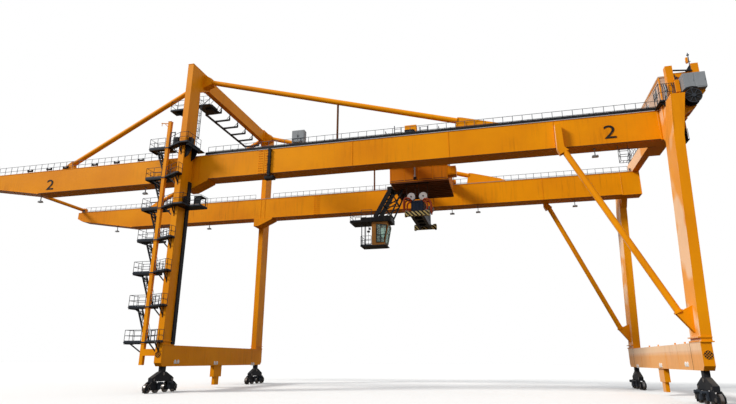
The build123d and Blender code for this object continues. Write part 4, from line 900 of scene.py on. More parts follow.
def makeBogieDetails():
    # axle caps, gear motors, bolts, pivot pins and rail sweeps
    caps, motors, sweeps = bmesh.new(), bmesh.new(), bmesh.new()
    for x, legY, inward in bogie["legs"]:
        for middle in (-legY, legY):
            for end in bothSides:
                y = middle + end * bogie["reach"]
                for wheel in (-bogie["wheel"], bogie["wheel"]):
                    for face in bothSides:
                        spot = (x + face * 0.136, y + wheel, bogie["axleZ"])
                        addAxleCap(caps, spot, "x", face, 0.078, 0.009, 0)
                for face in bothSides:
                    addDisc(caps, (x + face * 0.105, y, bogie["pinZ"]), "x", 0.055, 0.022, 14)
                # drive on the inner wheel of each bogie
                y -= end * bogie["wheel"]
                addCentredBox(motors, x + inward * 0.175, y, 0.30, 0.07, 0.16, 0.32)
                addDisc(motors, (x + inward * 0.27, y, bogie["motorZ"]), "x", 0.062, 0.16, 14)
                for fin in range(bogie["fins"]):
                    spot = (x + inward * (0.21 + bogie["finPitch"] * fin), y, bogie["motorZ"])
                    addDisc(motors, spot, "x", 0.070, 0.008, 14)
            for face in bothSides:
                addDisc(caps, (x + face * 0.105, middle, bogie["middlePinZ"]), "x", 0.070, 0.024, 16)
            for end in bothSides:
                y = middle + end * bogie["sweepReach"]
                addBox(sweeps, x - 0.10, y - 0.012, 0.03, x + 0.10, y + 0.012, 0.30)
                addBox(sweeps, x - 0.10, y, 0.26, x + 0.10, y - end * 0.05, 0.285)
    finishPiece("bogieCaps", caps, "runningSteel")
    finishPiece("bogieDrives", motors, "blueGrey", bevel=0.004)
    finishPiece("railSweeps", sweeps, "darkPaint")


makeSillDetails()
makeBogieDetails()
print("sills and bogies detailed")


# stairs and platforms: railings, braces and lockers

stair = {"levels": [11.675 - 1.585 * step for step in range(7)], "left": -1.97, "right": -0.83, "outer": -5.0,
         "inner": -4.3, "edge": 0.02, "flightY": (-4.64, -4.32), "flightTop": -1.69, "flightFoot": -1.09,
         "pitch": 1.585, "railShares": (0.06, 0.28, 0.50, 0.72), "column": (-0.95, -4.90), "gangwayY": -5.43,
         "ends": (0.53, 0.20, 0.615, 0.20, 0.20, 0.20, 0.20), "restZ": 13.70, "handrails": (0.46, 0.24),
         "handrail": 0.022}


def makeStairRailings():
    bm = bmesh.new()
    edge, right = stair["edge"], stair["right"]
    left, outer, inner = stair["left"] + edge, stair["outer"] + edge, stair["inner"] - edge
    for index, level in enumerate(stair["levels"]):
        addRailing(bm, level, [(right - 0.24, outer), (left, outer), (left, inner), (right, inner)])
        # handrails beside the flight that goes down from here
        for y in stair["flightY"] if level != stair["levels"][-1] else ():
            top = Vector((stair["flightTop"] + edge, y, level))
            base = Vector((stair["flightFoot"], y, level - stair["pitch"]))
            spots = [base.lerp(top, share) for share in stair["railShares"]]
            for lift in stair["handrails"]:
                addBar(bm, spots[0] + up(lift), spots[-1] + up(lift), stair["handrail"], sides=6)
            for spot in spots:
                addBar(bm, spot, spot + up(stair["handrails"][0]), stair["handrail"], sides=6)
        # gangway round the leg
        end = stair["ends"][index] - edge
        turns = {0: [(end, -4.27)], 2: [(end, -4.87), (1.22, -4.87), (1.22, -4.27)]}
        addRailing(bm, level, [(right, outer), (0.06, stair["gangwayY"]), (end, stair["gangwayY"]),
                               *turns.get(index, [(end, -5.12)])])
        addRailing(bm, level, [(right, -4.63), (-0.20, -4.95)], kick=False)
    # rest platform on the pylon's left face
    addRailing(bm, stair["restZ"], [(-0.17, -4.98), (-0.975, -4.98), (-0.975, -4.46), (-0.17, -4.46)])
    finishPiece("stairRailings", bm, "blueGrey")


def makeStairBraces():
    # triangular brackets from the column and the leg under each level, and the column's small arm
    bm = bmesh.new()
    x, y = stair["column"]
    left, right = stair["left"], stair["right"]
    for level in stair["levels"]:
        under = level - 0.06
        for start, end, width in (
                ((x - 0.085, y, -0.42), (left + 0.25, y, 0), 0.045),
                ((x - 0.085, y, -0.42), (left + 0.55, -4.34, 0), 0.04),
                ((left + 0.03, -4.97, -0.03), (left + 0.03, -4.33, -0.03), 0.05),
                ((left + 0.03, -4.97, -0.03), (right - 0.22, -4.97, -0.03), 0.05),
                ((-0.16, -5.05, -0.40), (-0.62, -4.98, 0.01), 0.045),
                ((0.0, -5.10, -0.36), (0.0, -5.42, 0.015), 0.045)):
            addBar(bm, Vector(start) + up(under), Vector(end) + up(under), width)
        addBox(bm, -0.02, -5.115, under - 0.46, 0.02, -5.095, under + 0.02)
    # deep bracket under the top gangway's right end
    top = stair["levels"][0] - 0.04
    for at in (-5.0, -4.45):
        addPrism(bm, [(0.16, top), (0.52, top), (0.52, top - 0.12), (0.34, top - 0.52), (0.16, top - 0.62)],
                 at - 0.02, at + 0.02)
    addBox(bm, 0.44, -5.38, top - 0.12, 0.52, -4.28, top)
    finishPiece("stairBraces", bm, "darkPaint")
    bm = bmesh.new()
    addBar(bm, (x, y, 13.0), (x - 0.5, y - 0.05, 13.06), 0.045, sides=8)
    addBar(bm, (x, y, 12.72), (x - 0.3, y - 0.03, 13.02), 0.03, sides=8)
    addPost(bm, x - 0.46, y - 0.05, 13.05, 12.90, 0.03, 8)
    addCentredBox(bm, x, y, 13.095, 0.20, 0.20, 0.014)
    for level in stair["levels"]:
        addCentredBox(bm, x, y, level - 0.09, 0.21, 0.21, 0.02)
    finishPiece("columnArm", bm, "orangePaint")


def makeBalconyFrame():
    # dark canopy frame on the balcony's outer edge, gates and lockers on the upper levels
    bm = bmesh.new()
    level, top = stair["levels"][2], stair["levels"][0]
    for x in (0.87, 1.20):
        for y in (-4.87, -4.40):
            addPost(bm, x, y, level, level + 0.46, 0.035, 4)
    addBox(bm, 0.84, -4.89, level + 0.44, 1.235, -4.37, level + 0.475)
    addBox(bm, 0.86, -4.86, level + 0.08, 1.20, -4.84, level + 0.40)
    for x in (-0.80, -0.56):
        addPost(bm, x, -4.97, top, top + 0.80, 0.04, 4)
    addBar(bm, (-0.80, -4.97, top + 0.78), (-0.56, -4.97, top + 0.78), 0.035)
    addBox(bm, -0.50, -5.16, top + 0.005, -0.24, -5.00, top + 0.42)
    addBox(bm, 0.20, -4.90, top + 0.01, 0.36, -4.62, top + 0.46)
    addBox(bm, 0.20, -4.80, level + 0.01, 0.42, -4.50, level + 0.55)
    finishPiece("platformLockers", bm, "darkPaint", bevel=0.004)


makeStairRailings()
makeStairBraces()
makeBalconyFrame()
print("stairs and platforms detailed")


# walkway under the pylon crossbeam, and the ladder's cage

walk = {"outer": -1.05, "near": -1.70, "far": 3.30, "level": 15.12, "bay": 0.95}


def makeWalkway():
    bm = bmesh.new()
    level, near, far, outer = walk["level"], walk["near"], walk["far"], walk["outer"]
    # crossbars, with a block and a brace where each hangs from the beam, and the outer stringer
    bays = round((far - near) / walk["bay"])
    for bay in range(bays + 1):
        y = near + 0.02 + bay * (far - near - 0.04) / bays
        addBox(bm, outer, y - 0.05, level - 0.075, -0.07, y + 0.05, level + 0.004)
        addBox(bm, -0.115, y - 0.035, level - 0.06, -0.045, y + 0.035, level + 0.12)
        addBar(bm, (-0.30, y, level), (-0.08, y, level + 0.26), 0.03, sides=6)
    addBox(bm, outer - 0.04, near, level - 0.10, outer + 0.04, far, level)
    finishPiece("walkwayBars", bm, "darkPaint")
    bm = bmesh.new()
    addBox(bm, -0.62, -2.43, level - 0.16, -0.25, -1.77, level + 0.16)
    addBar(bm, (-0.45, -1.75, level - 0.05), (-0.14, -1.75, level + 0.5), 0.03, sides=8)
    addBar(bm, (-0.45, -2.40, level + 0.1), (-0.14, -2.40, level + 0.42), 0.03, sides=8)
    finishPiece("walkwayBox", bm, "darkPaint", bevel=0.006)
    bm = bmesh.new()
    addRailing(bm, level - 0.02, [(-0.20, -2.80), (-0.95, -2.80), (-0.95, -1.74)], kick=False)
    addBox(bm, -1.0, -2.83, level - 0.06, -0.14, -1.72, level - 0.02)
    addBar(bm, (-0.60, -2.80, level - 0.05), (-0.14, -2.80, level + 0.33), 0.03)
    finishPiece("walkwayEnd", bm, "blueGrey")


cage = {"centre": (0, -4.06), "radius": 0.178, "foot": 12.5, "top": 14.35, "pitch": 0.08, "rings": 24}


def makeLadderMesh():
    # hoop bars and the wire panel round the ladder's lower part
    bm = bmesh.new()
    degrees = [22.5 * step for step in range(9)]
    for spot in circle((*cage["centre"], cage["foot"]), cage["radius"], "z", degrees):
        addBar(bm, spot, (spot.x, spot.y, cage["top"]), 0.008)
    for ring in range(cage["rings"]):
        centre = (*cage["centre"], cage["foot"] + cage["pitch"] * ring)
        addPath(bm, circle(centre, cage["radius"], "z", degrees), 0.006, sides=3)
    finishPiece("ladderMesh", bm, "blueGrey")


makeWalkway()
makeLadderMesh()
print("walkway and ladder cage detailed")


# the right end: railings, reel, mast, pipes and the machine house's fittings

head = {"deck": 11.62, "pipes": (21.76, 21.83, 21.90, 22.12, 22.20), "mast": (23.0, -4.85)}


def makeHeadDetails():
    bm = bmesh.new()
    addRailing(bm, 11.38, [(21.66, -4.30), (21.66, -5.03), (22.30, -5.05, 11.36)], height=0.76)
    for x in head["pipes"]:
        addPath(bm, [(x, -5.04, 11.40), (x + 0.06, -5.04, 11.90), (x + 0.03, -5.03, 12.12)], 0.034, sides=8)
    addRailing(bm, head["deck"], [(22.35, -4.34), (23.22, -4.34)], kick=False)
    finishPiece("headRailings", bm, "blueGrey")
    bm = bmesh.new()
    # landing beside the leg's head, with its bracket
    addBox(bm, 21.62, -5.04, 11.352, 21.84, -4.26, 11.385)
    addPrism(bm, [(21.64, 11.352), (21.84, 11.352), (21.84, 11.16)], -4.98, -4.94)
    # ledge on the leg's right face
    addBox(bm, 22.17, -5.66, 9.40, 22.23, -4.70, 9.43)
    addBox(bm, 22.16, -5.66, 9.40, 22.18, -4.70, 9.89)
    for y in (-5.64, -5.2, -4.72):
        addPost(bm, 22.215, y, 9.43, 9.86, 0.02)
    # brace, mast foot and cable guides round the posts
    addPrism(bm, [(22.75, 12.60), (22.97, 12.60), (22.97, 12.92)], -4.97, -4.93)
    addBar(bm, (22.31, -4.99, 12.70), (22.99, -4.99, 12.62), 0.05)
    addPost(bm, 22.33, -5.00, 11.70, 12.46, 0.07, 10)
    addPost(bm, 22.40, -5.00, 11.70, 12.40, 0.05, 10)
    addBox(bm, 22.28, -5.03, 12.02, 22.44, -4.97, 12.12)
    finishPiece("headFrame", bm, "darkPaint", bevel=0.003)
    bm = bmesh.new()
    mastX, mastY = head["mast"]
    addPost(bm, mastX, mastY, 12.93, 13.49, 0.04, 10)
    addBar(bm, (mastX - 0.14, mastY, 13.10), (mastX + 0.06, mastY, 13.10), 0.03, sides=8)
    addDisc(bm, (mastX, mastY, 13.40), "z", 0.05, 0.03, 12)
    addPost(bm, 22.47, -5.06, 11.63, 12.24, 0.036, 10)
    finishPiece("headMast", bm, "zincSteel")
    bm = bmesh.new()
    addBox(bm, 22.888, -4.90, 13.035, 22.958, -4.80, 13.28)
    addBox(bm, 22.26, -5.14, 11.66, 22.42, -5.02, 12.20)
    addBox(bm, 22.27, -5.02, 12.245, 22.34, -4.99, 12.42)
    finishPiece("headBoxes", bm, "orangePaint", bevel=0.006)


reel = {"centre": (22.665, -5.43, 11.225), "face": 0.165, "spokes": (0.05, 0.27), "rim": 0.285, "arc": 0.40,
        "turns": 8, "turnPitch": 0.032}


def addSpokes(bm, centre, degrees, reach, width, depth=None):
    inner, outer = [circle(centre, radius, "y", degrees) for radius in reach]
    for start, end in zip(inner, outer):
        addBar(bm, start, end, width, depth)


def makeReel():
    # spokes, rim, hub cap, wound cable and the guide arc
    x, y, z = reel["centre"]
    bm = bmesh.new()
    for face in (y - reel["face"], y + reel["face"]):
        addSpokes(bm, (x, face, z), range(12, 372, 45), reel["spokes"], 0.026)
        addPath(bm, circle((x, face, z), reel["rim"], "y", range(0, 361, 15)), 0.026)
    addDisc(bm, (x, y - 0.18, z), "y", 0.075, 0.05, 18)
    finishPiece("reelSpokes", bm, "blueGrey")
    bm = bmesh.new()
    for turn in range(reel["turns"]):
        addDisc(bm, (x, y - 0.112 + turn * reel["turnPitch"], z), "y", 0.212 + 0.004 * (turn % 2), 0.026, 24)
    arc = circle((x, y - 0.10, z), reel["arc"], "y", range(60, 200, 14))
    addPath(bm, arc, 0.03, 0.05)
    addBar(bm, arc[-1], arc[-1] + Vector((0.02, 0.10, -0.30)), 0.04, sides=8)
    addBox(bm, 22.35, -5.24, 11.30, 22.47, -5.19, 11.60)
    finishPiece("reelCable", bm, "darkPaint")


house = {"doorX": (0.18, 0.58), "doorZ": (0.08, 1.12), "louvres": (-2.4, -0.95, 0.5), "slats": 7,
         "slatPitch": 0.055, "vents": (-2.3, -0.9, 0.4), "beamTop": 11.95}


def makeHouseDetails():
    low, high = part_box("machine_house")
    bm = bmesh.new()
    # roof edge, corner posts, rails at the foot and under the roof
    addBox(bm, low.x + 0.02, low.y + 0.02, high.z - 0.075, high.x - 0.02, low.y + 0.034, high.z - 0.055)
    for y in (low.y + 0.03, high.y - 0.03):
        for x in (low.x + 0.03, high.x - 0.03):
            addCentredBox(bm, x, y, (low.z + high.z) / 2 - 0.03, 0.05, 0.05, high.z - low.z - 0.064)
    for y in (low.y + 0.026, high.y - 0.026):
        addBox(bm, low.x + 0.03, y - 0.012, low.z + 0.002, high.x - 0.03, y + 0.012, low.z + 0.05)
    for x in (low.x + 0.026, high.x - 0.026):
        for foot, top in ((low.z + 0.002, low.z + 0.05), (high.z - 0.12, high.z - 0.062)):
            addBox(bm, x - 0.012, low.y + 0.03, foot, x + 0.012, high.y - 0.03, top)
    finishPiece("houseTrim", bm, "orangePaint", bevel=0.003)
    bm = bmesh.new()
    # a door on each end, louvres on both long walls, vents on the roof
    for y in (high.y - 0.025, low.y + 0.025):
        addBox(bm, low.x + house["doorX"][0], y - 0.007, low.z + house["doorZ"][0],
               low.x + house["doorX"][1], y + 0.007, low.z + house["doorZ"][1])
    for x, face in ((low.x + 0.03, -1), (high.x - 0.03, 1)):
        for y in house["louvres"]:
            addBox(bm, x - 0.010, y - 0.30, low.z + 0.72, x + 0.010, y + 0.30, low.z + 1.14)
            for slat in range(house["slats"]):
                z = low.z + 0.76 + slat * house["slatPitch"]
                addBar(bm, (x + face * 0.010, y - 0.27, z), (x + face * 0.010, y + 0.27, z), 0.034, 0.010)
    for y in house["vents"]:
        addCentredBox(bm, low.x + 0.46, y, high.z, 0.34, 0.34, 0.03)
    finishPiece("houseDoors", bm, "paleGrey", bevel=0.003)
    bm = bmesh.new()
    left = low.x + 0.05
    addRailing(bm, house["beamTop"], [(left, -3.55), (left, -4.05), (high.x - 0.56, -4.05)])
    addRailing(bm, house["beamTop"], [(22.36, 1.45), (22.36, 4.05), (22.65, 4.05)])
    addRailing(bm, house["beamTop"], [(22.66, 1.45), (22.66, 4.05)], kick=False)
    finishPiece("endBeamRailings", bm, "zincSteel")


def makeCabinetDetails():
    # doors, roof sheet, handles and pipes of the grey cabinets
    bm = bmesh.new()
    low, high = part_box("reel_cabinet")
    middle = (low.x + high.x) / 2
    for left, right in ((low.x, middle), (middle, high.x)):
        addBox(bm, left + 0.02, low.y - 0.008, low.z + 0.04, right - 0.02, low.y + 0.004, high.z - 0.04)
        addBox(bm, right - 0.07, low.y - 0.020, low.z + 0.28, right - 0.05, low.y - 0.006, low.z + 0.42)
    addBox(bm, low.x + 0.02, low.y + 0.03, low.z - 0.012, high.x - 0.03, low.y + 0.10, low.z + 0.03)
    low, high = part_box("girder_cabinet")
    for left in (low.x + 0.02, low.x + 0.33):
        for y, face in ((low.y, -1), (high.y, 1)):
            addBox(bm, left, y, girderTop + 0.39, left + 0.29, y + face * 0.010, high.z - 0.04)
    addBox(bm, low.x + 0.005, low.y + 0.005, high.z - 0.004, high.x - 0.005, high.y - 0.005, high.z + 0.014)
    finishPiece("cabinetDoors", bm, "greyPaint", bevel=0.003)
    bm = bmesh.new()
    for x in (low.x + 0.28, low.x + 0.36):
        addBox(bm, x, low.y - 0.022, 11.92, x + 0.014, low.y - 0.008, 12.06)
    for x in (low.x + 0.12, low.x + 0.20, low.x + 0.5):
        addPost(bm, x, low.y + 0.05, girderTop + 0.01, girderTop + 0.352, 0.03, 8)
    finishPiece("cabinetHandles", bm, "darkPaint")


legCage = {"left": 20.08, "right": 20.46, "near": -4.24, "far": -3.98, "floor": 9.27}
leg = {"half": 0.157, "cap": (16.205, 16.235), "pins": ((-0.16, 15.69), (0.16, 15.848)),
       "seams": (4.2, 6.4, 8.6), "outerY": 5.1, "capHalf": (0.165, 0.435), "halfY": 0.425}


def makeLegFittings():
    # service cage under the girder; caps on the pylons, pins of the stays and seams on the left legs
    bm = bmesh.new()
    left, right, near, far, floorZ = legCage.values()
    addRailing(bm, floorZ, [(left, near), (right, near), (right, far), (left, far), (left, near)], kick=False)
    for x in (left, 20.20, 20.33, right):
        addBar(bm, (x, near, floorZ), (x, far, floorZ), 0.02, sides=6)
    for y in (near, far):
        addBar(bm, (left, y, floorZ), (right, y, floorZ), 0.02, sides=6)
    for x in (left, right):
        addPost(bm, x, far, floorZ, girderBottom + 0.01, 0.02)
    finishPiece("legCage", bm, "blueGrey")
    bm = bmesh.new()
    half, halfY, (capLow, capHigh), (capX, capY) = leg["half"], leg["halfY"], leg["cap"], leg["capHalf"]
    for side in bothSides:
        y = side * leftLegY
        addBox(bm, -capX, y - capY, capLow, capX, y + capY, capHigh)
        for x, z in leg["pins"]:
            addDisc(bm, (x, side * girderMidY, z), "x", 0.20, 0.03, 20)
        for z in leg["seams"]:
            for x in (-half, half):
                addBox(bm, x - 0.004, y - halfY, z, x + 0.004, y + halfY, z + 0.012)
            addBox(bm, -half, side * leg["outerY"] - 0.004, z, half, side * leg["outerY"] + 0.004, z + 0.012)
    finishPiece("legSeams", bm, "orangePaint")


makeHeadDetails()
makeReel()
makeHouseDetails()
makeCabinetDetails()
makeLegFittings()
print("right end, house and cabinets detailed")


# the trolley: posts, drives, hoist machinery and deck

trolley = {"x": 11.29, "half": 1.475, "top": 10.80, "bottom": 10.05, "frameTop": 11.67, "edgeY": 1.478,
           "posts": ((10.50, 12.20), (10.82, 12.07), (11.74, 12.02), (12.09, 12.03)),
           "railZs": (11.86, 12.02), "railRuns": ((10.50, 10.82), (11.74, 12.09)), "bufferZ": 11.56,
           "sidePosts": (-2.7, -1.35, 0, 1.35, 2.7), "railingX": (9.995, 12.585), "wheelX": 1.15,
           "wheelZ": 11.52, "drumX": 0.52, "drumZ": 0.27, "motorY": 3.38, "motorZ": 11.735, "fins": 7,
           "turns": 34, "turnPitch": 0.026}
trolleyLeft, trolleyRight = trolley["x"] - trolley["half"], trolley["x"] + trolley["half"]
deckZ = trolley["top"]
# where the ropes, sheaves, head block and spreader hang
lift = {"x": 11.17, "deck": 10.05, "sheaveZ": 9.292, "sheaveX": (-0.305, 0.305), "sheaveY": 1.26,
        "ropeX": 0.2223, "rope": 0.024}


def makeTrolleyPosts():
    bm = bmesh.new()
    frameTop = trolley["frameTop"]
    for x, top in trolley["posts"]:
        for side in bothSides:
            addPost(bm, x, side * railY, frameTop - 0.01, top, 0.045, 8)
    for side in bothSides:
        for z in trolley["railZs"]:
            for startX, endX in trolley["railRuns"]:
                addBar(bm, (startX, side * railY, z), (endX, side * railY, z), 0.022, sides=6)
    for y in trolley["sidePosts"]:
        for x in (trolleyLeft + 0.05, trolleyRight - 0.05):
            addPost(bm, x, y, frameTop - 0.52, frameTop + 0.02, 0.03)
    for x in trolley["railingX"]:
        addRailing(bm, frameTop, [(x, -3.30), (x, 3.30)], height=0.42, kick=False)
    finishPiece("trolleyPosts", bm, "zincSteel", "trolley")

    # end carriages: axle caps and buffers, with little room at the right end
    bm = bmesh.new()
    for side in bothSides:
        for x in (trolley["x"] - trolley["wheelX"], trolley["x"] + trolley["wheelX"]):
            for face in bothSides:
                centre = (x, side * railY + face * 0.092, trolley["wheelZ"])
                addAxleCap(bm, centre, "y", face, 0.075, 0.008, 30)
        for x, radius, length in ((trolleyLeft - 0.035, 0.052, 0.075), (trolleyLeft - 0.075, 0.062, 0.016),
                                  (trolleyRight + 0.004, 0.062, 0.016)):
            addDisc(bm, (x, side * railY, trolley["bufferZ"]), "x", radius, length, 14)
    finishPiece("carriageCaps", bm, "runningSteel", "trolley")


def makeHoistDrives():
    # travel drives on the carriages
    bm = bmesh.new()
    x = trolley["x"] + trolley["wheelX"]
    drumXs = (trolley["x"] - trolley["drumX"], trolley["x"] + trolley["drumX"])
    drumZ = deckZ + trolley["drumZ"]
    for side in bothSides:
        y = side * trolley["motorY"]
        addCentredBox(bm, x, y, 11.60, 0.24, 0.16, 0.13)
        addDisc(bm, (x - 0.20, y, trolley["motorZ"]), "x", 0.060, 0.30, 14)
        for fin in range(trolley["fins"]):
            addDisc(bm, (x - 0.31 + 0.035 * fin, y, trolley["motorZ"]), "x", 0.068, 0.008, 14)
    # hoist: two rope drums, gearbox, motor and brake on the deck
    for x in drumXs:
        addDisc(bm, (x, 0.0, drumZ), "y", 0.20, 1.90, 24)
        for face in bothSides:
            addDisc(bm, (x, face * 0.97, drumZ), "y", 0.26, 0.03, 24)
            addPrism(bm, [(x - 0.18, deckZ), (x + 0.18, deckZ), (x + 0.08, deckZ + 0.36),
                          (x - 0.08, deckZ + 0.36)], face * 1.01 - 0.015, face * 1.01 + 0.015)
    x = trolley["x"]
    addCentredBox(bm, x, -1.17, deckZ + 0.23, 1.30, 0.22, 0.44)
    addDisc(bm, (x, -0.72, deckZ + 0.20), "y", 0.15, 0.62, 18)
    for fin in range(10):
        addDisc(bm, (x, -0.95 + 0.045 * fin, deckZ + 0.20), "y", 0.165, 0.012, 18)
    addDisc(bm, (x, -0.36, deckZ + 0.20), "y", 0.11, 0.05, 18)
    finishPiece("hoistDrives", bm, "blueGrey", "trolley", bevel=0.004)
    # rope wound on the drums, in two halves
    bm = bmesh.new()
    for x in drumXs:
        for turn in range(trolley["turns"]):
            y = -0.88 + turn * trolley["turnPitch"] + (0.06 if turn >= trolley["turns"] / 2 else 0)
            addDisc(bm, (x, y, drumZ), "y", 0.211, 0.019, 16)
    finishPiece("drumRope", bm, "wireRope", "trolley")


def makeDeckDetails():
    # deck edges and ribs, hatches, side box doors
    bm = bmesh.new()
    edge, bottom = trolley["edgeY"], trolley["bottom"]
    edgeZs = (bottom + 0.015, deckZ - 0.03)
    for y in (-edge, edge):
        for z in edgeZs:
            addBox(bm, trolleyLeft, y - 0.012, z, trolleyRight, y + 0.012, z + 0.03)
        for step in range(5):
            x = trolleyLeft + 0.02 + step * (2 * trolley["half"] - 0.07) / 4
            addBox(bm, x, y - 0.010, bottom + 0.02, x + 0.03, y + 0.010, deckZ - 0.01)
    for x in (trolleyLeft, trolleyRight):
        for z in edgeZs:
            addBox(bm, x - 0.012, -edge, z, x + 0.012, edge, z + 0.03)
    for startX, endX in ((12.79, 12.95), (12.98, 13.13)):
        addBox(bm, startX, -1.485, 10.30, endX, -1.47, 10.67)
    for side in bothSides:
        for x in (11.03, 11.31):
            addBox(bm, x, side * 3.64 - 0.008, 11.72, x + 0.25, side * 3.64 + 0.008, 12.09)
    finishPiece("deckTrim", bm, "orangePaint", "trolley", bevel=0.002)
    bm = bmesh.new()
    addCentredBox(bm, 11.11, -1.51, 10.21, 0.16, 0.07, 0.10)
    for x in (10.15, 12.3):
        for y in (-1.0, 1.0):
            addCentredBox(bm, x, y, deckZ + 0.09, 0.30, 0.42, 0.18)
    # rope openings' frames under the deck, cable chain bracket
    for side in bothSides:
        for place in lift["sheaveX"]:
            for across in (side * lift["sheaveY"] - 0.0475, side * lift["sheaveY"] + 0.0475):
                addCentredBox(bm, lift["x"] + place, across, 9.9865, 0.60, 0.025, 0.017)
    addBox(bm, 11.05, -3.98, 11.70, 11.53, -3.64, 11.74)
    addBox(bm, 11.10, -4.02, 11.56, 11.48, -3.98, 11.74)
    finishPiece("deckFittings", bm, "darkPaint", "trolley", bevel=0.002)
    bm = bmesh.new()
    addPost(bm, 11.11, -1.515, 10.25, 10.785, 0.075, 12)
    for z in (10.35, 10.68):
        addCentredBox(bm, 11.11, -1.50, z, 0.11, 0.05, 0.03)
    finishPiece("deckPipe", bm, "paleGrey", "trolley")


makeTrolleyPosts()
makeHoistDrives()
makeDeckDetails()
print("trolley detailed")


# the cab: frames, rails, seat and console

cab = {"floor": 7.115, "top": 8.34, "half": 0.42, "frontLow": 9.305, "frontHigh": 9.468, "deckTop": 8.58,
       "armY": 0.205}


def bulge(value, power):
    return copysign(abs(value) ** power, value)


def addCushion(bm, centre, size, rings=10, turns=20):
    # crowned closed pad: rounded in plan, full in the middle and thin at its edges
    x, y, z = centre
    width, depth, height = [s / 2 for s in size]
    rows = []
    for ring in range(1, rings):
        tilt = pi * ring / rings - pi / 2
        flat = bulge(cos(tilt), 0.55)
        angles = [2 * pi * turn / turns for turn in range(turns)]
        level = z + height * bulge(sin(tilt), 0.8)
        rows.append([bm.verts.new((x + width * flat * bulge(cos(a), 0.45),
                                   y + depth * flat * bulge(sin(a), 0.45), level)) for a in angles])
    low, high = [bm.verts.new((x, y, z + end * height)) for end in bothSides]
    for turn in range(turns):
        after = (turn + 1) % turns
        bm.faces.new((low, rows[0][after], rows[0][turn]))
        bm.faces.new((high, rows[-1][turn], rows[-1][after]))
        for one, two in pairs(rows):
            bm.faces.new((one[turn], one[after], two[after], two[turn]))


def makeCabFrames():
    low, top = cab["floor"], cab["top"]
    foot, sillZ = low + 0.13, top - 0.20
    bm = bmesh.new()
    for side in bothSides:
        y = side * (cab["half"] + 0.006)
        # frames round the side windows, with a mullion
        outline = [(8.85, foot), (9.25, foot), (9.41, top - 0.19), (8.85, top - 0.12), (8.85, foot)]
        addPath(bm, [(x, y, z) for x, z in outline], 0.03)
        addBar(bm, (9.06, y, foot), (9.09, y, top - 0.14), 0.026)
        addBar(bm, (8.85, y, low + 0.52), (9.31, y, low + 0.52), 0.026)
    finishPiece("cabFrames", bm, "darkPaint", "trolley")
    bm = bmesh.new()
    # pale frame round the slanted front window, with bars and a wiper arm
    lowX, highX = cab["frontLow"], cab["frontHigh"]
    for start, end, width, depth in (
            ((lowX, -0.35, foot), (highX, -0.35, sillZ), 0.045, 0.04),
            ((lowX, 0.35, foot), (highX, 0.35, sillZ), 0.045, 0.04),
            ((lowX, -0.37, foot), (lowX, 0.37, foot), 0.045, 0.04),
            ((highX, -0.37, sillZ), (highX, 0.37, sillZ), 0.045, 0.04),
            ((lowX + 0.10, -0.35, low + 0.60), (lowX + 0.10, 0.35, low + 0.60), 0.03, 0.03),
            ((lowX + 0.012, 0, foot), (highX + 0.006, 0, sillZ), 0.02, 0.02),
            ((highX + 0.012, 0.15, top - 0.26), (lowX + 0.13, -0.05, low + 0.72), 0.014, 0.014)):
        addBar(bm, start, end, width, depth)
    finishPiece("cabFrontFrame", bm, "paleGreen", "trolley")


def makeSeat():
    # operator's seat: cushion, back and headrest, then their shell, the arms and the console
    low = cab["floor"]
    bm = bmesh.new()
    addCushion(bm, (8.90, 0, low + 0.30), (0.26, 0.27, 0.085))
    addCushion(bm, (8.765, 0, low + 0.54), (0.085, 0.25, 0.44))
    addCushion(bm, (8.755, 0, low + 0.81), (0.06, 0.15, 0.10))
    seat = finishPiece("operatorSeat", bm, "seatFabric", "trolley")
    for polygon in seat.data.polygons:
        polygon.use_smooth = True
    bm = bmesh.new()
    addCentredBox(bm, 8.895, 0, low + 0.250, 0.25, 0.25, 0.02)
    addCentredBox(bm, 8.715, 0, low + 0.55, 0.02, 0.22, 0.58)
    addDisc(bm, (8.90, 0, low + 0.15), "z", 0.05, 0.23, 14)
    addCentredBox(bm, 8.90, 0, low + 0.045, 0.30, 0.30, 0.02)
    for y in (-cab["armY"], cab["armY"]):
        addCentredBox(bm, 8.98, y, low + 0.40, 0.26, 0.09, 0.12)
        addBar(bm, (9.04, y, low + 0.45), (9.045, y, low + 0.54), 0.02, sides=8)
        addDisc(bm, (9.045, y, low + 0.55), "z", 0.018, 0.03, 10)
        addCentredBox(bm, 8.98, y, low + 0.20, 0.10, 0.06, 0.30)
    addCentredBox(bm, 9.20, 0, low + 0.06, 0.10, 0.40, 0.05)
    addCentredBox(bm, 8.70, 0.30, low + 0.95, 0.10, 0.16, 0.20)
    finishPiece("cabConsole", bm, "darkPaint", "trolley", bevel=0.004)


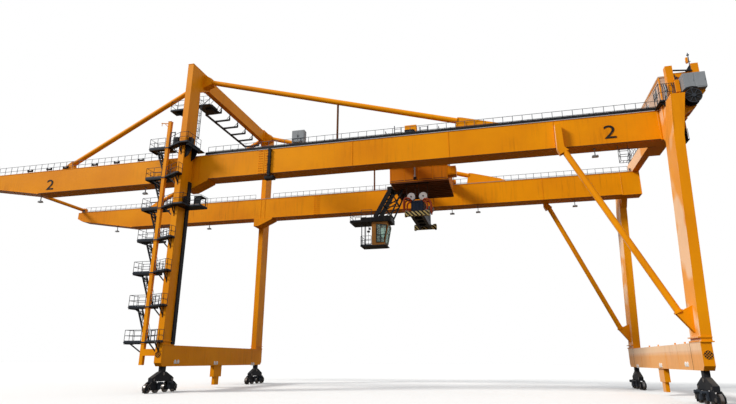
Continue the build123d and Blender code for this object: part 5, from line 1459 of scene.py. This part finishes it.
def makeCabUnits():
    # railings of the roof deck and the rear balcony, roof units, hanging lamps
    low, top, deckTop = cab["floor"], cab["top"], cab["deckTop"]
    bm = bmesh.new()
    addRailing(bm, 8.42, [(8.05, -0.50), (7.45, -0.50), (7.45, 0.50), (8.05, 0.50)], height=0.46)
    for y in (-0.51, 0.51):
        addRailing(bm, deckTop, [(8.05, y), (8.62, y)], height=0.42, kick=False)
    addRailing(bm, low, [(8.57, -0.40), (8.01, -0.40), (8.01, 0.40), (8.57, 0.40)], height=0.50)
    for x in (8.20, 8.42):
        addPost(bm, x, -0.38, low, top, 0.022)
    finishPiece("cabRailings", bm, "blueGrey", "trolley")
    bm = bmesh.new()
    addCentredBox(bm, 9.22, 0.18, deckTop + 0.09, 0.34, 0.42, 0.18)
    for slat in range(5):
        addCentredBox(bm, 9.22, -0.032, deckTop + 0.035 + slat * 0.03, 0.28, 0.01, 0.012)
    addPost(bm, 8.30, 0.10, top, top - 0.34, 0.02)
    addCentredBox(bm, 8.30, 0.10, top - 0.38, 0.14, 0.12, 0.08)
    addPost(bm, 8.42, -0.10, top, top - 0.22, 0.02)
    addCentredBox(bm, 8.42, -0.10, top - 0.28, 0.08, 0.08, 0.12)
    addBox(bm, 9.27, -0.40, low - 0.045, 9.38, 0.40, low - 0.005)
    finishPiece("cabUnits", bm, "darkPaint", "trolley", bevel=0.004)


makeCabFrames()
makeSeat()
makeCabUnits()
print("cab detailed")


# the ropes, the head block and the spreader

def sheaveCentres():
    return [(lift["x"] + place, side * lift["sheaveY"], lift["sheaveZ"])
            for side in bothSides for place in lift["sheaveX"]]


def makeRopeFalls():
    # ropes from the deck to the sheaves
    bm = bmesh.new()
    for x, y, z in sheaveCentres():
        for edge in (-lift["ropeX"], lift["ropeX"]):
            addPost(bm, x + edge, y, lift["deck"], z, lift["rope"], 10)
    piece = addObject("ropeFalls", closeMesh("ropeFalls", bm))
    piece.data.materials.append(mats["wireRope"])
    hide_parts("hoist_ropes")
    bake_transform(piece)


block = {"ribX": (-0.27, -0.09, 0.09, 0.27), "halfX": 0.29, "endY": 1.334, "sideX": 0.317,
         "bandZ": (8.50, 8.98), "sideRibs": 6, "firstRib": -1.2, "ribPitch": 0.48, "pipeY": -1.40,
         "pipes": (((10.508, 8.60), (10.500, 8.90), (10.518, 9.12), (10.60, 9.20), (10.668, 9.215),
                    (10.823, 9.15)),
                   ((11.528, 9.10), (11.63, 9.115), (11.728, 9.085), (11.81, 9.00), (11.868, 8.87),
                    (11.862, 8.62), (11.853, 8.405))),
         "pipeEnds": (((10.508, -1.40, 8.60), (10.56, -1.40, 8.45)),
                      ((10.823, -1.40, 9.15), (10.88, -1.32, 9.06)),
                      ((11.528, -1.40, 9.10), (11.46, -1.32, 9.06))),
         "thirdPipe": ((0, 9.00), (0.13, 8.97), (0.20, 8.85), (0.19, 8.62), (0.08, 8.49))}


def makeSheaveDetails():
    # rims, spokes and side discs of the sheaves, and their hubs
    bm, hubs = bmesh.new(), bmesh.new()
    for x, y, z in sheaveCentres():
        for face in bothSides:
            centre = (x, y + face * 0.036, z)
            addPath(bm, circle(centre, 0.185, "y", range(0, 361, 18)), 0.02, 0.03)
            addSpokes(bm, centre, range(0, 360, 72), (0.05, 0.18), 0.03, 0.008)
            addDisc(bm, (x, y + face * 0.063, z), "y", 0.197, 0.008, 28)
            addDisc(hubs, (x, y + face * 0.071, z), "y", 0.040, 0.012, 14)
    finishPiece("sheaveRims", bm, "paleGrey", "spreader")
    finishPiece("sheaveHubs", hubs, "darkPaint", "spreader")


def makeHeadBlockDetails():
    x = lift["x"]
    bm = bmesh.new()
    # plates, ribs and boxes on the block
    for side in bothSides:
        y, out = side * block["endY"], side * (block["endY"] + 0.012)
        for z in block["bandZ"]:
            addBox(bm, x - block["halfX"], y, z, x + block["halfX"], out, z + 0.06)
        for place in block["ribX"]:
            addBox(bm, x + place - 0.012, y, 8.50, x + place + 0.012, out, 9.04)
        for at in (x - block["sideX"], x + block["sideX"]):
            for step in range(block["sideRibs"]):
                spot = block["firstRib"] + step * block["ribPitch"]
                addBox(bm, at - 0.010, spot - 0.012, 8.49, at + 0.010, spot + 0.012, 9.06)
    addCentredBox(bm, x, 0, 9.16, 0.46, 0.9, 0.16)
    addCentredBox(bm, x, -0.66, 9.13, 0.30, 0.26, 0.10)
    finishPiece("blockRibs", bm, "navyPaint", "spreader", bevel=0.002)
    bm = bmesh.new()
    # stiff hydraulic pipes that bow over both sides of the block's near end
    for line in block["pipes"]:
        addPath(bm, [(px, block["pipeY"], pz) for px, pz in line], 0.092, sides=12)
        addPath(bm, [(px + 0.02, -1.28, pz - 0.10) for px, pz in line], 0.08, sides=12)
    for start, end in block["pipeEnds"]:
        addBar(bm, start, end, 0.075, sides=10)
    # a third pipe, close to the block, on each side
    for start, sign in ((10.86, -1), (11.48, 1)):
        addPath(bm, [(start + sign * px, -1.34, pz) for px, pz in block["thirdPipe"]], 0.085, sides=12)
    finishPiece("blockPipes", bm, "redRubber", "spreader")


spreader = {"lockX": 0.555, "endY": 1.465, "flipperX": 0.565, "flipperY": 1.47, "beamY": 1.455,
            "flangeZ": (8.243, 8.452), "ribX": (-0.40, -0.20, 0.20, 0.40)}


def makeSpreaderDetails():
    middle = lift["x"]
    bm = bmesh.new()
    for end in bothSides:
        x = middle + end * spreader["lockX"]
        for y in (-spreader["endY"], spreader["endY"]):
            # twistlock: neck and pointed head
            addDisc(bm, (x, y, 8.205), "z", 0.026, 0.03, 12)
            addPrism(bm, [(x - 0.045, 8.195), (x + 0.045, 8.195), (x + 0.02, 8.215), (x - 0.02, 8.215)],
                     y - 0.024, y + 0.024)
            addDisc(bm, (x, y, 8.478), "z", 0.05, 0.02, 14)
            addCentredBox(bm, middle + end * spreader["lockX"] * 0.86, y, 8.50, 0.10, 0.05, 0.05)
    for x in (middle - 0.12, middle + 0.12):
        for y in (-0.7, 0.7):
            addBar(bm, (x, y - 0.5, 8.50), (x, y + 0.5, 8.50), 0.05, sides=10)
    finishPiece("twistlocks", bm, "runningSteel", "spreader")
    bm = bmesh.new()
    # guide flippers folded on the ends, ribs and flanges of the end beams
    for x in (middle - spreader["flipperX"], middle + spreader["flipperX"]):
        for y in (-spreader["flipperY"], spreader["flipperY"]):
            addPrism(bm, [(x - 0.05, 8.47), (x + 0.04, 8.47), (x + 0.02, 8.53), (x - 0.03, 8.53)],
                     y - 0.03, y + 0.03)
    for y in (-spreader["beamY"], spreader["beamY"]):
        for z in spreader["flangeZ"]:
            addBox(bm, middle - 0.605, y - 0.078, z, middle + 0.605, y + 0.078, z + 0.014)
        for place in spreader["ribX"]:
            addBox(bm, middle + place - 0.008, y - 0.077, 8.245, middle + place + 0.008, y + 0.077, 8.46)
    finishPiece("spreaderFlippers", bm, "hazardPaint", "spreader")


makeRopeFalls()
makeSheaveDetails()
makeHeadBlockDetails()
makeSpreaderDetails()
print("head block and spreader detailed")


# lamps under the girders, whose undersides rise towards the left tips

lamp = {"near": (-9.42, -2.75, 19.20), "far": (-10.72, -3.55, 12.45, 13.95, 19.27), "drop": 0.39,
        "riseFrom": -9.3, "slope": 0.655 / 4.15}


def makeLampDetails():
    faces, hoods = bmesh.new(), bmesh.new()
    for name, side in sideOf.items():
        y = side * girderMidY
        for x in lamp[name]:
            underside = girderBottom + lamp["slope"] * max(0, lamp["riseFrom"] - x)
            z = underside - lamp["drop"]
            addCentredBox(faces, x, y, z - 0.001, 0.20, 0.13, 0.006)
            for step in range(7):
                addCentredBox(hoods, x - 0.09 + step * 0.03, y, z + 0.072, 0.008, 0.13, 0.030)
            addBox(hoods, x - 0.128, y - 0.088, z + 0.002, x + 0.128, y + 0.088, z + 0.016)
            addDisc(hoods, (x, y, underside - 0.012), "z", 0.05, 0.02, 12)
    finishPiece("lampFaces", faces, "lampFace")
    finishPiece("lampHoods", hoods, "greyPaint")


# clips of the trolley rails, buffers on the end stops

rails = {"clips": (-13.4, 22.1), "clipSpacing": 0.5, "stops": ((-13.465, 0.08), (22.222, 0.02))}


def makeRailDetails():
    bm = bmesh.new()
    addCentredBox(bm, 0, 0, 0.012, 0.05, 0.10, 0.024)
    for y in (0.034, -0.034):
        addDisc(bm, (0, y, 0.03), "z", 0.012, 0.02, 6)
    lines = [[(x, side * railY, girderTop) for x in rails["clips"]] for side in bothSides]
    rowPiece("railClips", closeMesh("railClip", bm), lines, rails["clipSpacing"], "runningSteel")
    bm = bmesh.new()
    for side in bothSides:
        for x, length in rails["stops"]:
            addDisc(bm, (x, side * railY, girderTop + 0.17), "x", 0.045, length, 14)
    finishPiece("stopBuffers", bm, "blackMark")


makeLampDetails()
makeRailDetails()
print("lamps and rails detailed")
